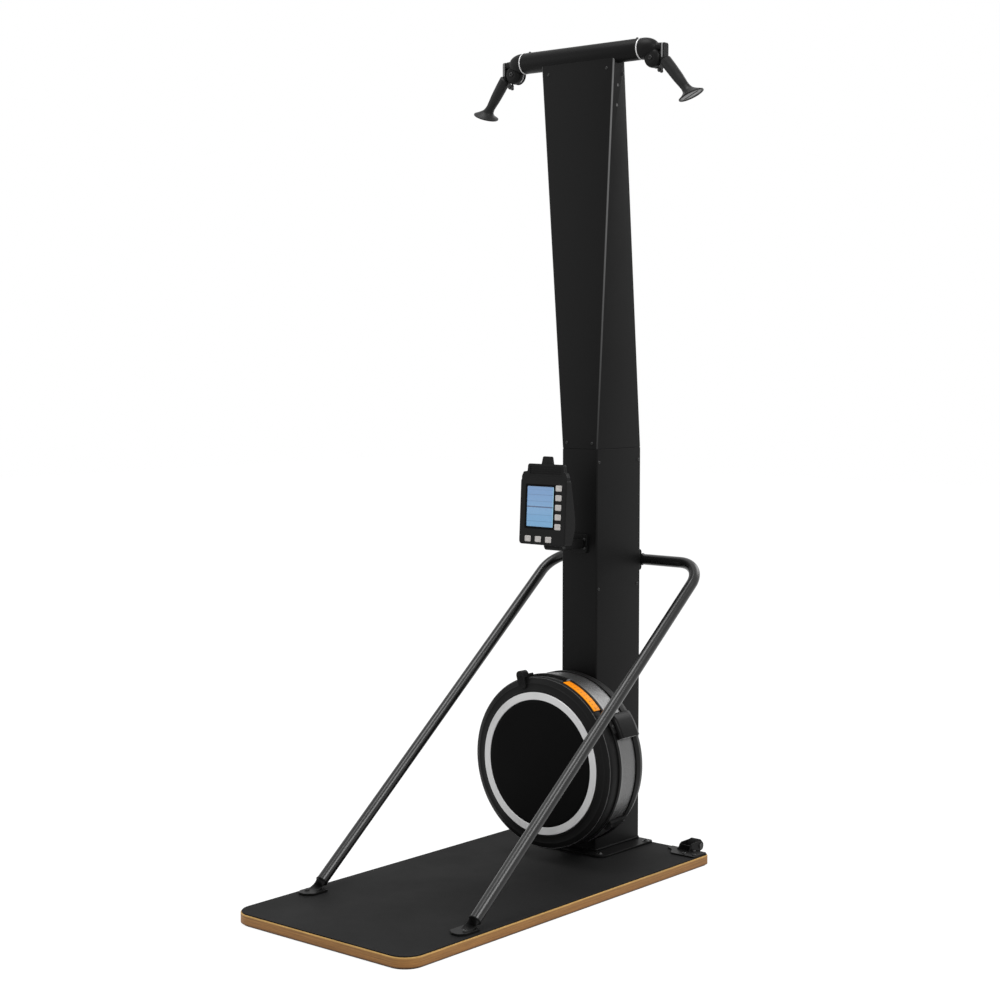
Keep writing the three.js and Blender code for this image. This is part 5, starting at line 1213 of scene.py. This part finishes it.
keys = {
    "half": (10.0, 7.9), "gap": 0.6, "radius": 2.5, "wellY": (-57.0, -45.2),
    "profile": [(0, -48.8), (0, -52.6), (-0.5, -53.45), (-1.4, -53.8), (-4.5, -53.0)],  # grown by, y
    "places": {**{f"side_key_{k + 1}": (48.0, 155.8 - k * 25.5) for k in range(5)},
               **{f"low_key_{k + 1}": (-52.0 + k * 35.0, 18.5) for k in range(3)}},
}
arm = {
    "plate": ((-30.5, 30.5, 853.5, 904.5), "y", 370.2, 378.2, 5), "axis": (273.5, 879.0),
    "beam": ((-20.0, 20.0, 867.0, 891.0), "y", 273.5, 371.2, 2.5, 4), "barrel": (12, -20, 20),
    "pin": [(0, -30.1), (6.2, -30.1), (6.8, -29.4), (6.8, -28.6), (3.9, -28.5), (3.9, 28.5), (6.8, 28.6),
            (6.8, 29.4), (6.2, 30.1), (0, 30.1)],
    "screws": [(-24, 370.2, 891), (24, 370.2, 891), (-24, 370.2, 867), (24, 370.2, 867)],
    "screwSize": (3.8, 2.4),
}


def grown(bounds, by):
    return bounds[0] - by, bounds[1] + by, bounds[2] - by, bounds[3] + by


def makeMonitor():
    m = monitor
    front, cut, lens = m["face"], m["cutFront"], m["lens"]
    turn = Matrix.Translation(m["place"]) @ Matrix.Rotation(math.radians(m["tilt"]), 4, "X")

    def part(name, shape, coat="blackPlastic", node="", body="monitor", **rest):
        return piece(name, placed(shape, turn), coat, node, body, **rest)

    wide, tall = keys["half"]
    spots = {key: (x - wide, x + wide, z - tall, z + tall) for key, (x, z) in keys["places"].items()}
    wells = {key: slab(grown(spot, keys["gap"]), "y", *keys["wellY"], keys["radius"] + 0.5, 5)
             for key, spot in spots.items()}
    cuts = [prism(line, "x", -m["wedgeHalf"], m["wedgeHalf"]) for line in m["wedges"]]
    cuts.append(slab(grown(lens, m["lensGap"]), "y", cut, front + 2.3, 2, 4))
    case = combined(slab(*m["case"]), cuts=cuts + list(wells.values()))
    part("monitorCase", case, node="monitor_body", bevel=1.6, segments=3)
    window = slab(grown(lens, m["windowGrow"]), "y", cut, front + 5, 1.8, 4)
    rim = slab(grown(lens, m["borderGrow"]), "y", front - 0.65, front + 0.1, 1.8, 4)
    near = [wells[key] for key, spot in spots.items() if spot[0] + spot[1] > lens[0] + lens[1]]
    part("monitorFilm", combined(slab(*m["film"]), cuts=[window] + list(wells.values())), bevel=0.15)
    part("displayBorder", combined(rim, cuts=[window] + near), "discPlastic", bevel=0.1)
    dock = prism(rounded(m["dock"], m["dockRadii"]), "y", *m["dockY"])
    tongue = prism(rounded(m["tab"], m["tabRadii"]), "y", *m["tabY"])
    dock = combined(dock, cuts=[slab(*m["hollow"])], adds=[tongue])
    part("monitorDock", dock, node="monitor_body", bevel=1.8, segments=3)
    half, rise = m["ribHalf"], m["ribHeight"]
    ribs = [slab((-half, half, z, z + rise), "y", *m["ribY"], 0.8, 3) for z in m["ribs"]]
    part("monitorDockRibs", joined(*ribs), bevel=0.3)
    ears = []
    for start, end in m["earX"]:
        hole = rod(m["earRadii"][0], start - 2, end + 2, "x", (0, 0), 48)
        ears.append(combined(prism(m["ear"], "x", start, end), cuts=[hole]))
        ears.append(turned(rectangle(*m["earRadii"], start, end), "x", (0, 0), 48, closed=True))
    part("monitorEars", joined(*ears), node="monitor_body", bevel=0.8)
    glass = slab(lens, "y", front + 0.1, front + 2.0, 2, 4)
    display = part("monitorDisplay", glass, "displayGlass", "monitor_lens", bevel=0.2).data
    layer, back = display.uv_layers.new(name="face"), turn.inverted()
    left, right, low, high = lens
    for loop in display.loops:
        x, _, z = back @ (display.vertices[loop.vertex_index].co / unit)
        layer.data[loop.index].uv = ((x - left) / (right - left), (z - low) / (high - low))
    for key, (x, z) in keys["places"].items():
        line = rounded(rectangle(*spots[key]), keys["radius"], 5)
        rings = [[(x + (px - x) * (wide + grow) / wide, y, z + (pz - z) * (tall + grow) / tall)
                  for px, pz in line] for grow, y in keys["profile"]]
        part(key.replace("_k", "K").replace("_", ""), lofted(rings), "keyRubber", key, key)


def makeArm():
    shapes = [slab(*arm["plate"]), slab(*arm["beam"]), rod(*arm["barrel"], "x", arm["axis"], 56)]
    piece("armBeam", joined(*shapes), "blackPaint", "monitor_arm", bevel=1.2, segments=3)
    piece("armPin", turned(arm["pin"], "x", arm["axis"], 32), "boltBlack", "monitor_arm")
    piece("armScrews", bolts(arm["screws"], forward, *arm["screwSize"]), "boltBlack")


makeMonitor()
makeArm()
print("monitor made")

# Transport wheels at the board's rear corners
roller = {
    "x": 232.0, "axis": (603.5, 41.0), "treadRadii": [0.4, 1, 1.5, 1.5, 1, 0.4],
    "tread": [(5.3, 217), (16, 217), (18, 219), (18, 245), (16, 247), (5.3, 247)],
    "hub": [(5.4, 15.3), (10, 15.35), (10.6, 15), (5.4, 14)],
    "plate": [(176, 574.5), (176, 553.2), (197.3, 542.5), (217, 510.5), (291, 510.5), (291, 574.5)],
    "plateRadii": [5, 6, 10, 8, 6, 5], "plateLow": 32.0, "plateHigh": 36.0,
    "cheekFoot": [(546.5, 34), (585.8, 34)], "cheekArc": (14.0, -62, 90, 0, 14),
    "cheekTop": [(566, 54.6), (558, 50.5)],
    "cheeks": [(212.5, 216.5), (247.5, 251.5)], "web": ((557, 560, 34, 50), "x", 212.5, 251.5),
    "pin": [(0, 211.3), (6.4, 211.3), (7, 211.9), (7, 212.5), (5.0, 212.5), (5.0, 251.5), (8, 251.5),
            (8, 253.1),
            (7, 254.2), (0, 254.2)],
    "bolts": [(210, 559.5, 36), (252, 524, 36), (259, 560, 36), (281, 528, 36)], "boltSize": (5.5, 3.6),
}


def makeWheels():
    r, axis = roller, roller["axis"]
    tread = rounded(r["tread"], r["treadRadii"], 4)
    pair("Roller", turned(tread, "x", axis, 72, closed=True), "solidRubber", "SIDE_wheel", "SIDE_wheel")
    hubs = [turned([(radius, r["x"] + side * along) for radius, along in r["hub"]], "x", axis, 40,
                   closed=True)
            for side in (-1, 1)]
    pair("RollerHub", joined(*hubs), "washerGrey", body="SIDE_wheel")
    plate = prism(rounded(r["plate"], r["plateRadii"]), "z", r["plateLow"], r["plateHigh"])
    arc = [(y, z) for y, _, z in arcLine(axis, *r["cheekArc"])]
    cheeks = [prism(r["cheekFoot"] + arc + r["cheekTop"], "x", *span) for span in r["cheeks"]]
    bracket = joined(plate, *cheeks, slab(*r["web"]))
    pair("WheelBracket", bracket, "blackPaint", "SIDE_wheel_bracket", bevel=0.9)
    pair("WheelPin", turned(r["pin"], "x", axis, 40), "boltBlack", "SIDE_wheel_bracket")
    pair("WheelBolts", bolts(r["bolts"], upward, *r["boltSize"]), "boltBlack")


makeWheels()
print("wheels made")

# Working parts inside keep their own solids
inside = {
    "blackPaint": ["flywheel_fan"],
    "steel": ["drive_axle", "front_bearing", "rear_bearing", "guide_bracket", "inner_bracket"],
    "blackPlastic": ["return_idler", "left_guide_sheave", "right_guide_sheave", "left_cord_drum",
                     "right_cord_drum"],
}
for coat, nodes in inside.items():
    for node in nodes:
        materials = bpy.data.objects[node].data.materials
        materials.clear()
        materials.append(finishes[coat])
print("working parts dressed")
